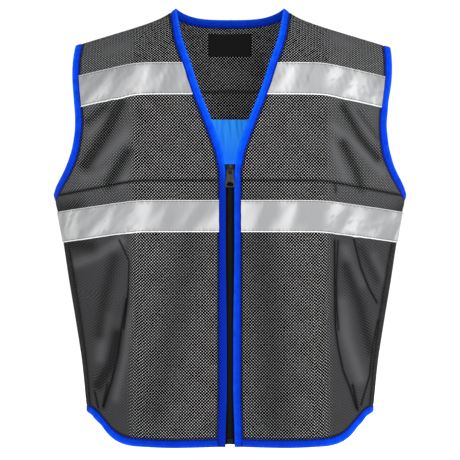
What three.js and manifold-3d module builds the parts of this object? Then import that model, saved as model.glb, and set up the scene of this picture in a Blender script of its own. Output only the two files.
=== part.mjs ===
import * as THREE from 'three';
import Module from 'manifold-3d';
import { mergeVertices } from 'three/addons/utils/BufferGeometryUtils.js';

// A sleeveless zip-front mesh vest, worn-shaped and empty.
// Lengths are millimetres. +X is the wearer's left, -Y the front and +Z up.
// The origin is midway between the two neck points, where the shoulders carry the vest.

// Heights, measured down from the neck points
const shoulderDrop = 8.5;
const backNeckDrop = 30;
const chestTapeDrop = 92;
const backTapeDrop = 80;
const liningDrop = 175;
const underarmDrop = 287.5;
const hemDrop = 685;

// Heights that go with the underarm or the hem
const frontSeamDrop = underarmDrop - 10.5;
const frontNeckDrop = frontSeamDrop - 13;
const sliderDrop = frontNeckDrop - 10.3;
const waistTapeDrop = underarmDrop + 20.5;
const underarmSideDrop = underarmDrop + 23.5;
const sideHemDrop = hemDrop - 53;

// Half widths
const neckHalf = 95.5;
const shoulderHalf = 234.6;
const armholeNarrowHalf = 232.7;
const underarmHalf = 278;
const hemHalf = 228.8;
const kneeHalf = 148;
const leftShoulderReach = 9.5;
const reachFade = 1.5;

// Depths of the front and the back of the torso from the side
const frontDepth = 108;
const backDepth = 100;
const shoulderRound = 90;
const sectionPower = 2.4;
const foldFade = 2;

// Cloth
const meshWall = 2;
const tapeWall = 1;
const tapeWidth = 50;
const liningWall = 1.2;
const bindingWidth = 12;
const bindingWall = 3;
const seamGap = 0.3;
const seamApart = 0.18;
const bindingGap = 0.5;
const foldRadius = 1.7;

// Label
const labelWidth = 71;
const labelHeight = 34.5;
const labelDrop = 37.3;
const labelWall = 1;

// Zip
const zipGapHalf = 4.9;
const zipFlare = 2.2;
const flareStart = 0.88;
const zipTapeWidth = 11;
const zipTapeWall = 1;
const teethHalf = 2.9;
const teethWall = 2.6;
const boxWidth = 9.4;
const boxHeight = 8.6;
const boxWall = 4.4;
const boxCorner = 1;
const sliderHeight = 17;
const sliderPlate = 1.7;
const sliderTopHalf = 5.9;
const sliderCorner = 1;
const sliderShares = { shoulder: 0.1, waist: 0.42, wedge: 0.32, wedgeHalf: 0.25 };
const wedgeInset = 0.2;
const bridgeInner = 2.1;
const bridgeWall = 1.5;
const bridgeWidth = 4.4;
const bridgeNose = 1.5;
const noseFlat = 0.2;
const noseBevel = 0.8;
const pivotBelowSlider = 7.3;
const pullerLength = 28;
const pullerWall = 1.8;
const pullerTopHalf = 5.4;
const pullerEndHalf = 7.8;
const pullerBar = 2;
const pullerRim = 1.6;
const pullerHole = 5.8;
const pullerEye = 6.6;
const pullerEyeHalf = 5.6;
const pullerShares = { waist: 0.34, wide: 0.84, end: 0.6, eyeFoot: 0.8, eyeSide: 0.35, eyeCrown: 0.7 };
const runningGap = 0.4;

// Steepness of each level line outside the knee, as drop over width
const chestSlope = 0.217;
const seamSlope = 0.185;
const waistSlope = 0.143;
const kneeSoftness = 12;

// Worked-out places
const frontEdgeHalf = zipGapHalf + bindingWidth + bindingGap;
const meshHalfWall = meshWall / 2;
const rightAngle = 90;
const sideTurn = 72.5;
const hemLine = 8;
const shoulderLine = 0;
const crossingPasses = 20;
const lengthSamples = 120;

// The shoulder seam falls by a steady slope after a short steep rise beside the neck.
const shoulderSlope = 0.3;
const neckCurve = { drop: 7.4, reach: 17.7 };
const neckSteepness = shoulderSlope + neckCurve.drop / neckCurve.reach;
const backNeckPower = 3.2;

// Rows that the pieces start or end at, counted along the level lines below
const yokeRow = 2;
const seamRow = 4;
const underarmRow = 5;
const chestTapeRows = [1, 2];
const waistTapeRows = [6, 7];

// Outline tables. Each row is a section, and its lengths are shares of the sizes named above.

// Silhouette half width: level -1 is the neck, 0 the underarm and 1 the side of the hem.
// Width 0 is the hem's half width and 1 the underarm's.
const sideOutline = [
  { level: -1, width: 1.16 },
  { level: -0.52, width: 1.22 },
  { level: -0.3, width: 1.23 },
  { level: -0.14, width: 1.16 },
  { level: 0, width: 1 },
  { level: 0.06, width: 0.912 },
  { level: 0.2, width: 0.75 },
  { level: 0.39, width: 0.563 },
  { level: 0.6, width: 0.335 },
  { level: 0.79, width: 0.144 },
  { level: 1, width: 0 },
];

// Front edge, from the shoulder seam to the base of the V: open 1 is the neck, 0 the zip.
const neckOutline = [
  { down: 0, open: 1 },
  { down: 0.176, open: 0.9 },
  { down: 0.34, open: 0.722 },
  { down: 0.509, open: 0.54 },
  { down: 0.687, open: 0.31 },
  { down: 0.87, open: 0.09 },
  { down: 0.94, open: 0.042 },
  { down: 0.965, open: 0.022 },
  { down: 1, open: 0 },
];

// Armhole edge, from the shoulder seam to the underarm: out 0 is its narrowest place.
const armholeOutline = [
  { down: 0, out: 0.04 },
  { down: 0.11, out: 0.113 },
  { down: 0.22, out: 0.119 },
  { down: 0.38, out: 0.044 },
  { down: 0.49, out: 0 },
  { down: 0.583, out: 0.033 },
  { down: 0.712, out: 0.17 },
  { down: 0.825, out: 0.437 },
  { down: 0.923, out: 0.76 },
  { down: 1, out: 1 },
];

// Hem line: across is a share of the hem's half width, rise of the lift at its rounded corner.
const hemOutline = [
  { across: 0, rise: 0.05 },
  { across: 0.38, rise: 0 },
  { across: 0.58, rise: 0.02 },
  { across: 0.705, rise: 0.07 },
  { across: 0.79, rise: 0.24 },
  { across: 0.87, rise: 0.6 },
  { across: 0.93, rise: 0.86 },
  { across: 1, rise: 1 },
];

// Depth of the front and the back down the body, as shares of their named depths.
const depthOutline = [
  { down: 0, front: 0.667, back: 0.66 },
  { down: 0.134, front: 0.852, back: 0.9 },
  { down: 0.207, front: 0.926, back: 0.98 },
  { down: 0.365, front: 1, back: 1 },
  { down: 0.486, front: 0.995, back: 0.96 },
  { down: 0.657, front: 0.935, back: 0.9 },
  { down: 1, front: 0.9, back: 0.92 },
];

// Side seam: it leaves the silhouette below the underarm and runs further forward to the hem.
const sideSeamOutline = [
  { level: 0, forward: 0 },
  { level: 0.08, forward: 0.35 },
  { level: 0.2, forward: 1 },
  { level: 1, forward: 1 },
];

// Folds: each is a soft groove between two places. Across is a share of the underarm's half width,
// down of the hem's drop, reach and depth of the reflective tape's width.
const folds = [
  { face: -1, across: [-0.57, -0.6], down: [0.545, 0.7], reach: 0.3, depth: 0.12 },
  { face: -1, across: [-0.6, -0.71], down: [0.7, 0.9], reach: 0.3, depth: 0.16 },
  { face: -1, across: [0.59, 0.6], down: [0.54, 0.7], reach: 0.3, depth: 0.12 },
  { face: -1, across: [0.6, 0.7], down: [0.7, 0.9], reach: 0.3, depth: 0.14 },
  { face: -1, across: [0.67, 0.83], down: [0.54, 0.67], reach: 0.28, depth: 0.1 },
  { face: -1, across: [-0.6, -0.78], down: [0.24, 0.37], reach: 0.34, depth: 0.16 },
  { face: -1, across: [-0.57, -0.68], down: [0.33, 0.41], reach: 0.3, depth: 0.12 },
  { face: -1, across: [0.63, 0.8], down: [0.25, 0.36], reach: 0.34, depth: 0.16 },
  { face: 1, across: [-0.5, -0.6], down: [0.55, 0.92], reach: 0.36, depth: 0.14 },
  { face: 1, across: [0.5, 0.6], down: [0.55, 0.92], reach: 0.36, depth: 0.14 },
  { face: 1, across: [-0.55, -0.72], down: [0.26, 0.38], reach: 0.34, depth: 0.14 },
  { face: 1, across: [0.55, 0.72], down: [0.26, 0.38], reach: 0.34, depth: 0.14 },
];

// A smooth curve through a table's rows, held level past its ends.
function readTable(rows, by, column, at) {
  const last = rows.length - 1;
  if (at <= rows[0][by]) return rows[0][column];
  if (at >= rows[last][by]) return rows[last][column];
  let k = 0;
  while (at > rows[k + 1][by]) k += 1;
  const slopeAt = (i) => {
    const before = rows[Math.max(i - 1, 0)];
    const after = rows[Math.min(i + 1, last)];
    return (after[column] - before[column]) / (after[by] - before[by]);
  };
  const span = rows[k + 1][by] - rows[k][by];
  const t = (at - rows[k][by]) / span;
  const start = (1 + 2 * t) * (1 - t) ** 2 * rows[k][column];
  const end = t * t * (3 - 2 * t) * rows[k + 1][column];
  const leave = t * (1 - t) ** 2 * span * slopeAt(k);
  const arrive = t * t * (t - 1) * span * slopeAt(k + 1);
  return start + end + leave + arrive;
}

// Height of the shoulder ridge. Inside the neck a parabola carries it on at the same steepness.
function ridgeHeight(across) {
  const out = Math.abs(across) - neckHalf;
  if (out < 0) return -shoulderDrop + (neckSteepness * (neckHalf ** 2 - across ** 2)) / (2 * neckHalf);
  return -shoulderDrop - shoulderSlope * out - neckCurve.drop * (1 - Math.exp(-out / neckCurve.reach));
}

// Edge of the back at the neck, from one shoulder seam to the other
function backTopHeight(across) {
  const share = Math.min(Math.abs(across) / neckHalf, 1);
  if (share === 1) return ridgeHeight(across);
  return -backNeckDrop + (backNeckDrop - shoulderDrop) * share ** backNeckPower;
}

function hemHeight(across) {
  const share = Math.abs(across) / hemHalf;
  return -hemDrop + (hemDrop - sideHemDrop) * readTable(hemOutline, 'across', 'rise', share);
}

// Level lines, numbered from the shoulder seam down to the top of the hem binding
const levelLines = {
  front: [
    { height: ridgeHeight },
    levelLine(chestTapeDrop, chestSlope),
    levelLine(chestTapeDrop + tapeWidth, chestSlope),
    levelLine(frontNeckDrop, seamSlope),
    levelLine(frontSeamDrop, seamSlope),
    levelLine(underarmDrop, seamSlope),
    levelLine(waistTapeDrop, waistSlope),
    levelLine(waistTapeDrop + tapeWidth, waistSlope),
    { height: hemHeight },
  ],
};
levelLines.back = levelLines.front.slice();
levelLines.back[0] = { height: backTopHeight };
levelLines.back[1] = levelLine(backTapeDrop, chestSlope);
levelLines.back[2] = levelLine(backTapeDrop + tapeWidth, chestSlope);

// A line that is level across the middle and slopes down outside the knee
function levelLine(drop, slope) {
  return {
    height: (across) => {
      const out = Math.abs(across) - kneeHalf;
      return -drop - (slope * (out + Math.hypot(out, kneeSoftness))) / 2;
    },
  };
}

// Height of row v, which may lie between two level lines, at a distance across the body
function rowHeight(face, v, across) {
  const lines = levelLines[face];
  const k = Math.min(Math.floor(v), lines.length - 2);
  const t = k === 0 ? v * v : v - k;
  return lines[k].height(across) * (1 - t) + lines[k + 1].height(across) * t;
}

function sideLevel(height) {
  if (height > -underarmSideDrop) return -1 - height / underarmSideDrop;
  return (-height - underarmSideDrop) / (sideHemDrop - underarmSideDrop);
}

function halfWidthAt(face, v) {
  const level = sideLevel(rowHeight(face, v, underarmHalf));
  const share = readTable(sideOutline, 'level', 'width', level);
  return hemHalf + (underarmHalf - hemHalf) * share;
}

function foldDepth(sign, across, height) {
  let depth = 0;
  for (const fold of folds) {
    if (fold.face !== sign) continue;
    const from = { x: fold.across[0] * underarmHalf, z: -fold.down[0] * hemDrop };
    const to = { x: fold.across[1] * underarmHalf, z: -fold.down[1] * hemDrop };
    const run = { x: to.x - from.x, z: to.z - from.z };
    const length = Math.hypot(run.x, run.z);
    const along = ((across - from.x) * run.x + (height - from.z) * run.z) / length ** 2;
    const aside = ((across - from.x) * run.z - (height - from.z) * run.x) / length;
    const past = Math.max(-along, along - 1, 0) * length;
    const reach = fold.reach * tapeWidth;
    depth += fold.depth * tapeWidth * Math.exp(-(aside * aside + past * past) / (reach * reach));
  }
  return depth;
}

// A place on the vest's middle surface. Turn is the angle round the body from the centre front,
// in degrees, and v the row. The section is a superellipse, closed over the shoulder by a quarter
// round. Folds press into it and fade out towards the sides.
function surfacePoint(face, turn, v) {
  const angle = THREE.MathUtils.degToRad(turn);
  const sine = Math.sin(angle);
  const cosine = Math.cos(angle);
  const norm = (Math.abs(sine) ** sectionPower + Math.abs(cosine) ** sectionPower) ** (1 / sectionPower);
  const across = (halfWidthAt(face, v) * sine) / norm;
  const height = rowHeight(face, v, across);
  const level = -rowHeight(face, v, 0) / hemDrop;
  const forward = cosine > 0;
  const share = readTable(depthOutline, 'down', forward ? 'front' : 'back', level);
  const full = (forward ? frontDepth : backDepth) * share;
  const below = THREE.MathUtils.clamp((ridgeHeight(across) - height) / shoulderRound, 0, 1);
  const round = Math.sqrt(1 - (1 - below) ** 2);
  const fade = Math.min(Math.abs(cosine) * foldFade, 1);
  const fold = foldDepth(forward ? -1 : 1, across, height) * round * fade;
  const apart = face === 'front' ? -seamApart : seamApart;
  const depth = (full * Math.abs(cosine) * round) / norm - fold;
  return new THREE.Vector3(across, (forward ? -depth : depth) + apart, height);
}

function surfaceNormal(face, turn, v) {
  const turnStep = 0.4;
  const rowStep = 0.03;
  const low = Math.max(v - rowStep, 0);
  const high = Math.min(v + rowStep, hemLine);
  const around = surfacePoint(face, turn + turnStep, v).sub(surfacePoint(face, turn - turnStep, v));
  const down = surfacePoint(face, turn, high).sub(surfacePoint(face, turn, low));
  return down.cross(around).normalize();
}

function turnAt(face, v, across) {
  const share = Math.min(Math.abs(across) / halfWidthAt(face, v), 1);
  const rest = (1 - share ** sectionPower) ** (1 / sectionPower);
  return THREE.MathUtils.radToDeg(Math.atan2(share, rest));
}

// Where an upright outline crosses a row, found by going back and forth between the two
function crossing(face, v, outline) {
  let across = outline(rowHeight(face, v, 0));
  for (let pass = 0; pass < crossingPasses; pass += 1) across = outline(rowHeight(face, v, across));
  return across;
}

function frontEdgeAt(height) {
  const down = (-height - shoulderDrop) / (frontNeckDrop - shoulderDrop);
  const low = THREE.MathUtils.smoothstep(-height, hemDrop * flareStart, hemDrop);
  const open = readTable(neckOutline, 'down', 'open', down);
  return frontEdgeHalf + zipFlare * low + (neckHalf - frontEdgeHalf) * open;
}

function armholeEdgeAt(height, side) {
  const top = -ridgeHeight(shoulderHalf);
  const down = (-height - top) / (underarmSideDrop - top);
  const out = readTable(armholeOutline, 'down', 'out', down);
  const fade = (1 - THREE.MathUtils.clamp(down, 0, 1)) ** reachFade;
  const reach = side > 0 ? leftShoulderReach * fade : 0;
  return armholeNarrowHalf + (underarmHalf - armholeNarrowHalf) * out + reach;
}

// Turn of a panel's outer edge: along the armhole, and from the underarm down the side seam
function outerTurn(face, v, side) {
  if (v < underarmRow) {
    const turn = turnAt(face, v, crossing(face, v, (height) => armholeEdgeAt(height, side)));
    return face === 'front' ? turn : 180 - turn;
  }
  const level = sideLevel(rowHeight(face, v, underarmHalf));
  const forward = readTable(sideSeamOutline, 'level', 'forward', level);
  return rightAngle - (rightAngle - sideTurn) * forward;
}

// Turns that divide a row between two turns into equal shares of its own length
function spreadTurns(face, v, from, to, shares) {
  const lengths = [0];
  let before = surfacePoint(face, from, v);
  for (let i = 1; i <= lengthSamples; i += 1) {
    const here = surfacePoint(face, from + ((to - from) * i) / lengthSamples, v);
    lengths.push(lengths[i - 1] + here.distanceTo(before));
    before = here;
  }
  return shares.map((share) => {
    const target = share * lengths[lengthSamples];
    let k = 0;
    while (k < lengthSamples - 1 && lengths[k + 1] < target) k += 1;
    const t = (target - lengths[k]) / (lengths[k + 1] - lengths[k]);
    return from + ((to - from) * (k + t)) / lengthSamples;
  });
}

function evenShares(count) {
  return Array.from({ length: count + 1 }, (unused, i) => i / count);
}

function place(face, turn, v) {
  return { point: surfacePoint(face, turn, v), normal: surfaceNormal(face, turn, v) };
}

const frontShares = evenShares(14);

// One row of a front panel, from the front edge out to the armhole or the side seam
function frontRow(v, side) {
  const inner = turnAt('front', v, crossing('front', v, frontEdgeAt));
  const turns = spreadTurns('front', v, inner, outerTurn('front', v, side), frontShares);
  return turns.map((turn) => place('front', side * turn, v));
}

const neckShares = [0.63, 0.82, 0.92, 0.98];
const backMiddle = [0, labelWidth / 2, ...neckShares.map((share) => share * neckHalf)];
const backShares = evenShares(7);

// One row of the back, from the wearer's left side seam or armhole to the right one
function backRow(v) {
  const half = (side) => {
    const middle = backMiddle.map((across) => 180 - turnAt('back', v, across));
    const neck = 180 - turnAt('back', v, neckHalf);
    const outer = spreadTurns('back', v, neck, outerTurn('back', v, side), backShares);
    return middle.concat(outer).map((turn) => place('back', side * turn, v));
  };
  const left = half(1).reverse();
  return left.concat(half(-1).slice(1));
}

// Solids

function solidFromTriangles(corners) {
  let volume = 0;
  for (let i = 0; i < corners.length; i += 3) {
    volume += corners[i].dot(corners[i + 1].clone().cross(corners[i + 2]));
  }
  const numbers = [];
  for (let i = 0; i < corners.length; i += 3) {
    const order = volume > 0 ? [0, 1, 2] : [0, 2, 1];
    for (const k of order) numbers.push(...corners[i + k].toArray());
  }
  const geometry = new THREE.BufferGeometry();
  geometry.setAttribute('position', new THREE.Float32BufferAttribute(numbers, 3));
  return geometry;
}

// A wall between two heights over a grid of places
function wallSolid(rows, low, high) {
  const lift = (spot, by) => spot.point.clone().addScaledVector(spot.normal, by);
  const top = rows.map((row) => row.map((spot) => lift(spot, high)));
  const bottom = rows.map((row) => row.map((spot) => lift(spot, low)));
  const corners = [];
  const quad = (a, b, c, d) => corners.push(a, b, c, a, c, d);
  const lastRow = rows.length - 1;
  const lastColumn = rows[0].length - 1;
  for (let i = 0; i < lastRow; i += 1) {
    for (let j = 0; j < lastColumn; j += 1) {
      quad(top[i][j], top[i + 1][j], top[i + 1][j + 1], top[i][j + 1]);
      quad(bottom[i][j], bottom[i][j + 1], bottom[i + 1][j + 1], bottom[i + 1][j]);
    }
    quad(top[i + 1][0], top[i][0], bottom[i][0], bottom[i + 1][0]);
    const end = lastColumn;
    quad(top[i][end], top[i + 1][end], bottom[i + 1][end], bottom[i][end]);
  }
  // The quads of the two faces are cut along the same diagonal.
  for (let j = 0; j < lastColumn; j += 1) {
    quad(top[0][j], top[0][j + 1], bottom[0][j + 1], bottom[0][j]);
    const end = lastRow;
    quad(top[end][j + 1], top[end][j], bottom[end][j], bottom[end][j + 1]);
  }
  return solidFromTriangles(corners);
}

// A strip beside a line of places: each section is a ring of corners, out across the strip's width
// and up through its wall. Outward is +1 or -1, for the side of the line that the strip lies on.
function stripSolid(line, outward, ring, closed) {
  const count = line.length;
  const sections = line.map((spot, i) => {
    const before = line[closed ? (i + count - 1) % count : Math.max(i - 1, 0)];
    const after = line[closed ? (i + 1) % count : Math.min(i + 1, count - 1)];
    const along = after.point.clone().sub(before.point).normalize();
    const across = along.cross(spot.normal).normalize().multiplyScalar(outward);
    const up = spot.normal;
    return ring.map((corner) => {
      const moved = spot.point.clone().addScaledVector(across, corner.out);
      return moved.addScaledVector(up, corner.up);
    });
  });
  const corners = [];
  const steps = closed ? count : count - 1;
  for (let i = 0; i < steps; i += 1) {
    const a = sections[i];
    const b = sections[(i + 1) % count];
    ring.forEach((unused, k) => {
      const n = (k + 1) % ring.length;
      corners.push(a[k], b[k], b[n], a[k], b[n], a[n]);
    });
  }
  if (!closed) {
    const end = sections[count - 1];
    for (let k = 1; k < ring.length - 1; k += 1) {
      corners.push(sections[0][0], sections[0][k], sections[0][k + 1]);
      corners.push(end[0], end[k + 1], end[k]);
    }
  }
  return solidFromTriangles(corners);
}

// Rounded section of the folded binding
const bindingHalfWall = bindingWall / 2;
const bindingOuter = bindingWidth + bindingGap;
const bindingRing = [
  { out: bindingGap, up: -bindingHalfWall },
  { out: bindingOuter - foldRadius, up: -bindingHalfWall },
  { out: bindingOuter, up: -bindingHalfWall + foldRadius / 2 },
  { out: bindingOuter, up: bindingHalfWall - foldRadius / 2 },
  { out: bindingOuter - foldRadius, up: bindingHalfWall },
  { out: bindingGap, up: bindingHalfWall },
];

// Materials
const finishes = {
  airMesh: { color: 0x3a3a3c, roughness: 0.85, metalness: 0 },
  binding: { color: 0x0046ff, roughness: 0.6, metalness: 0 },
  reflectiveTape: { color: 0xc4c5c7, roughness: 0.4, metalness: 0.15 },
  lining: { color: 0x1e7bff, roughness: 0.5, metalness: 0 },
  zipTape: { color: 0x0b0b0c, roughness: 0.9, metalness: 0 },
  zipTeeth: { color: 0x121213, roughness: 0.4, metalness: 0 },
  zipMetal: { color: 0x46464a, roughness: 0.4, metalness: 0.7 },
  label: { color: 0x1a1a18, roughness: 0.8, metalness: 0 },
};

const vest = new THREE.Group();

function addPiece(name, geometry, finish) {
  const piece = new THREE.Mesh(geometry, new THREE.MeshStandardMaterial(finishes[finish]));
  piece.name = name;
  vest.add(piece);
  return piece;
}

// Rows that share their places, so that neighbours meet along the same facets
function between(rows, from, to) {
  return rows.filter((row) => row.v >= from && row.v <= to);
}

function places(rows) {
  return rows.map((row) => row.places);
}

// The last or first row of a piece is drawn back by half a seam gap, down the piece if by is negative.
function drawBack(grid, index, by) {
  const at = index < 0 ? grid.length + index : index;
  return grid.map((row, i) => {
    if (i !== at) return row;
    return row.map((spot) => ({
      point: spot.point.clone().add(new THREE.Vector3(0, 0, by)),
      normal: spot.normal,
    }));
  });
}

const zipTapeTop = 2.9;
const teethTop = 3;
const upperRows = [0, 0.2, 0.4, 0.6, 0.8, 1, 1.5, 2, 2.25, 2.5, 2.75, zipTapeTop, teethTop, seamRow];
const lowerRows = [4.5, 4.85, underarmRow, 6, 6.5, 7, 7.125, 7.25, 7.375, 7.5, 7.625, 7.75, 7.875, hemLine];
const labelTopRow = rowForDrop(labelDrop);
const labelEndRow = rowForDrop(labelDrop + labelHeight);
const liningTopRow = 2 + (liningDrop - backTapeDrop - tapeWidth) / (frontNeckDrop - backTapeDrop - tapeWidth);
const liningEndRow = 7.5;
const yokeRows = [0, 0.2, labelTopRow, (labelTopRow + labelEndRow) / 2, labelEndRow, 1, 1.5, yokeRow];
const backRows = yokeRows.concat([liningTopRow, (liningTopRow + 3) / 2, 3, seamRow], lowerRows);

// The back's first rows open out as a square below the neck.
function rowForDrop(drop) {
  return Math.sqrt((drop - backNeckDrop) / (backTapeDrop - backNeckDrop));
}

// Fronts
const fronts = [
  { name: 'left', side: 1 },
  { name: 'right', side: -1 },
];
for (const front of fronts) {
  front.rows = upperRows.concat(lowerRows).map((v) => ({ v, places: frontRow(v, front.side) }));
  const upper = drawBack(places(between(front.rows, shoulderLine, seamRow)), -1, seamGap / 2);
  const lower = drawBack(places(between(front.rows, seamRow, hemLine)), 0, -seamGap / 2);
  addPiece(`front_upper_${front.name}`, wallSolid(upper, -meshHalfWall, meshHalfWall), 'airMesh');
  addPiece(`front_lower_${front.name}`, wallSolid(lower, -meshHalfWall, meshHalfWall), 'airMesh');
}

// Back
const back = backRows.map((v) => ({ v, places: backRow(v) }));
const yokeGrid = drawBack(places(between(back, shoulderLine, yokeRow)), -1, seamGap / 2);
const bodyGrid = drawBack(places(between(back, yokeRow, hemLine)), 0, -seamGap / 2);
addPiece('back_yoke', wallSolid(yokeGrid, -meshHalfWall, meshHalfWall), 'airMesh');
addPiece('back_body', wallSolid(bodyGrid, -meshHalfWall, meshHalfWall), 'airMesh');

// Reflective tapes, sewn on the outside of the mesh
const tapeLow = meshHalfWall + seamGap;
const tapeHigh = tapeLow + tapeWall;
for (const front of fronts) {
  const chest = places(between(front.rows, ...chestTapeRows));
  const waist = places(between(front.rows, ...waistTapeRows));
  addPiece(`chest_tape_${front.name}`, wallSolid(chest, tapeLow, tapeHigh), 'reflectiveTape');
  addPiece(`waist_tape_${front.name}`, wallSolid(waist, tapeLow, tapeHigh), 'reflectiveTape');
}
const chestBack = places(between(back, ...chestTapeRows));
const waistBack = places(between(back, ...waistTapeRows));
addPiece('chest_tape_back', wallSolid(chestBack, tapeLow, tapeHigh), 'reflectiveTape');
addPiece('waist_tape_back', wallSolid(waistBack, tapeLow, tapeHigh), 'reflectiveTape');

// Lining and label, on the inside of the back
const backMiddleColumn = (back[0].places.length - 1) / 2;
const innerHigh = -meshHalfWall - seamGap;
const liningColumns = 8;
const liningGrid = places(between(back, liningTopRow, liningEndRow)).map((row) =>
  row.slice(backMiddleColumn - liningColumns, backMiddleColumn + liningColumns + 1),
);
addPiece('back_lining', wallSolid(liningGrid, innerHigh - liningWall, innerHigh), 'lining');

const labelGrid = places(between(back, labelTopRow, labelEndRow)).map((row) =>
  row.slice(backMiddleColumn - 1, backMiddleColumn + 2),
);
addPiece('neck_label', wallSolid(labelGrid, innerHigh - labelWall, innerHigh), 'label');

// Bindings
function midway(a, b) {
  return {
    point: a.point.clone().add(b.point).multiplyScalar(0.5),
    normal: a.normal.clone().add(b.normal).normalize(),
  };
}

function pushedDown(spot, by) {
  const down = new THREE.Vector3(0, 0, -by);
  return { point: spot.point.clone().add(down), normal: spot.normal };
}

function frontEdgeLine(front) {
  const line = front.rows.map((row) => row.places[0]);
  line.push(pushedDown(line.at(-1), bindingWidth + bindingGap));
  return line;
}

const neckColumns = backMiddle.length;
const neckTop = back[0].places.slice(backMiddleColumn - neckColumns + 1, backMiddleColumn + neckColumns);
const neckEnds = [
  back[0].places[backMiddleColumn - neckColumns],
  back[0].places[backMiddleColumn + neckColumns],
];
const leftEdge = frontEdgeLine(fronts[0]);
const rightEdge = frontEdgeLine(fronts[1]);
const neckLine = [
  ...leftEdge.slice(1).reverse(),
  midway(leftEdge[0], neckEnds[0]),
  ...neckTop,
  midway(rightEdge[0], neckEnds[1]),
  ...rightEdge.slice(1),
];
addPiece('neck_binding', stripSolid(neckLine, -1, bindingRing, false), 'binding');

for (const front of fronts) {
  const frontLine = between(front.rows, shoulderLine, underarmRow).map((row) => row.places.at(-1));
  const backEnd = front.side > 0 ? 0 : -1;
  const backLine = between(back, shoulderLine, underarmRow).map((row) => row.places.at(backEnd));
  const line = [
    midway(frontLine[0], backLine[0]),
    ...frontLine.slice(1, -1),
    midway(frontLine.at(-1), backLine.at(-1)),
    ...backLine.slice(1, -1).reverse(),
  ];
  const solid = stripSolid(line, -front.side, bindingRing, true);
  addPiece(`armhole_binding_${front.name}`, solid, 'binding');
}

// The hem's binding starts beside the front edge's, which runs on down past it.
const hemFront = fronts.map((front) => {
  const row = front.rows.at(-1).places.slice();
  const aside = new THREE.Vector3(front.side * bindingGap, 0, 0);
  row[0] = { point: row[0].point.clone().add(aside), normal: row[0].normal };
  return row;
});
const hemBack = back.at(-1).places;
const hemLinePlaces = [
  ...hemFront[0].slice(0, -1),
  midway(hemFront[0].at(-1), hemBack[0]),
  ...hemBack.slice(1, -1),
  midway(hemFront[1].at(-1), hemBack.at(-1)),
  ...hemFront[1].slice(0, -1).reverse(),
];
addPiece('hem_binding', stripSolid(hemLinePlaces, 1, bindingRing, false), 'binding');

// Zip. Its tapes lie behind the front bindings, and its teeth meet at the centre.
const zipTapeHigh = -bindingWall / 2 - seamGap;
const zipTapeLow = zipTapeHigh - zipTapeWall;
const zipMiddle = (zipTapeHigh + zipTapeLow) / 2;
const teethHigh = zipMiddle + teethWall / 2;
const teethLow = zipMiddle - teethWall / 2;
const zipTapeInner = teethHalf + seamGap;
for (const front of fronts) {
  const strip = (top, edges) =>
    between(front.rows, top, hemLine).map((row) =>
      edges.map((across) => place('front', front.side * turnAt('front', row.v, across), row.v)),
    );
  const tape = strip(zipTapeTop, [zipTapeInner, zipTapeInner + zipTapeWidth]);
  const teeth = strip(teethTop, [seamGap / 2, teethHalf]);
  addPiece(`zip_tape_${front.name}`, wallSolid(tape, zipTapeLow, zipTapeHigh), 'zipTape');
  addPiece(`zip_teeth_${front.name}`, wallSolid(teeth, teethLow, teethHigh), 'zipTeeth');
}

// Flat outlines are drawn in across and height, and stand out to the front from a given depth.
function frontPlate(outline, depth, wall) {
  const plate = new THREE.ExtrudeGeometry(outline, { depth: wall, bevelEnabled: false, curveSegments: 5 });
  plate.rotateX(Math.PI / 2);
  plate.translate(0, -depth, 0);
  return plate;
}

function joined(geometries) {
  const solids = geometries.map((geometry) => {
    const bare = new THREE.BufferGeometry();
    bare.setAttribute('position', geometry.getAttribute('position'));
    if (geometry.index) bare.setIndex(geometry.index);
    const merged = mergeVertices(bare, 1e-4);
    const triVerts = new Uint32Array(merged.index.array);
    const vertProperties = merged.getAttribute('position').array;
    return new manifold.Manifold(new manifold.Mesh({ numProp: 3, vertProperties, triVerts }));
  });
  const mesh = solids.reduce((whole, solid) => whole.add(solid)).getMesh();
  const geometry = new THREE.BufferGeometry();
  geometry.setAttribute('position', new THREE.BufferAttribute(mesh.vertProperties, 3));
  geometry.setIndex(new THREE.BufferAttribute(mesh.triVerts, 1));
  return geometry;
}

const manifold = await Module();
manifold.setup();

// Slider: two plates that hold the teeth between them, a wedge that joins the plates above the
// teeth, and a bridge on the front that the puller's bar hangs in
const zipDepth = -surfacePoint('front', 0, teethTop).y;
const sliderInside = zipDepth + teethHigh + runningGap;
const sliderBehind = zipDepth + teethLow - runningGap - sliderPlate;
const sliderFace = sliderInside + sliderPlate;
const sliderFootHalf = zipGapHalf - runningGap;
const pivotHeight = -sliderDrop - pivotBelowSlider;
const pullerFoot = -surfacePoint('front', 0, underarmRow).y + bindingHalfWall + runningGap;
const pivotOut = pullerFoot + pullerWall / 2 - sliderFace;
const bridgeOuter = bridgeInner + bridgeWall;

function sliderOutline() {
  const top = -sliderDrop;
  const foot = top - sliderHeight;
  const shoulder = top - sliderHeight * sliderShares.shoulder;
  const waist = top - sliderHeight * sliderShares.waist;
  const outline = new THREE.Shape();
  outline.moveTo(-sliderFootHalf, waist);
  outline.lineTo(-sliderFootHalf, foot + sliderCorner);
  outline.quadraticCurveTo(-sliderFootHalf, foot, -sliderFootHalf + sliderCorner, foot);
  outline.lineTo(sliderFootHalf - sliderCorner, foot);
  outline.quadraticCurveTo(sliderFootHalf, foot, sliderFootHalf, foot + sliderCorner);
  outline.lineTo(sliderFootHalf, waist);
  outline.lineTo(sliderTopHalf, shoulder);
  outline.lineTo(sliderTopHalf, top - sliderCorner);
  outline.quadraticCurveTo(sliderTopHalf, top, sliderTopHalf - sliderCorner, top);
  outline.lineTo(-sliderTopHalf + sliderCorner, top);
  outline.quadraticCurveTo(-sliderTopHalf, top, -sliderTopHalf, top - sliderCorner);
  outline.lineTo(-sliderTopHalf, shoulder);
  return outline;
}

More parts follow.
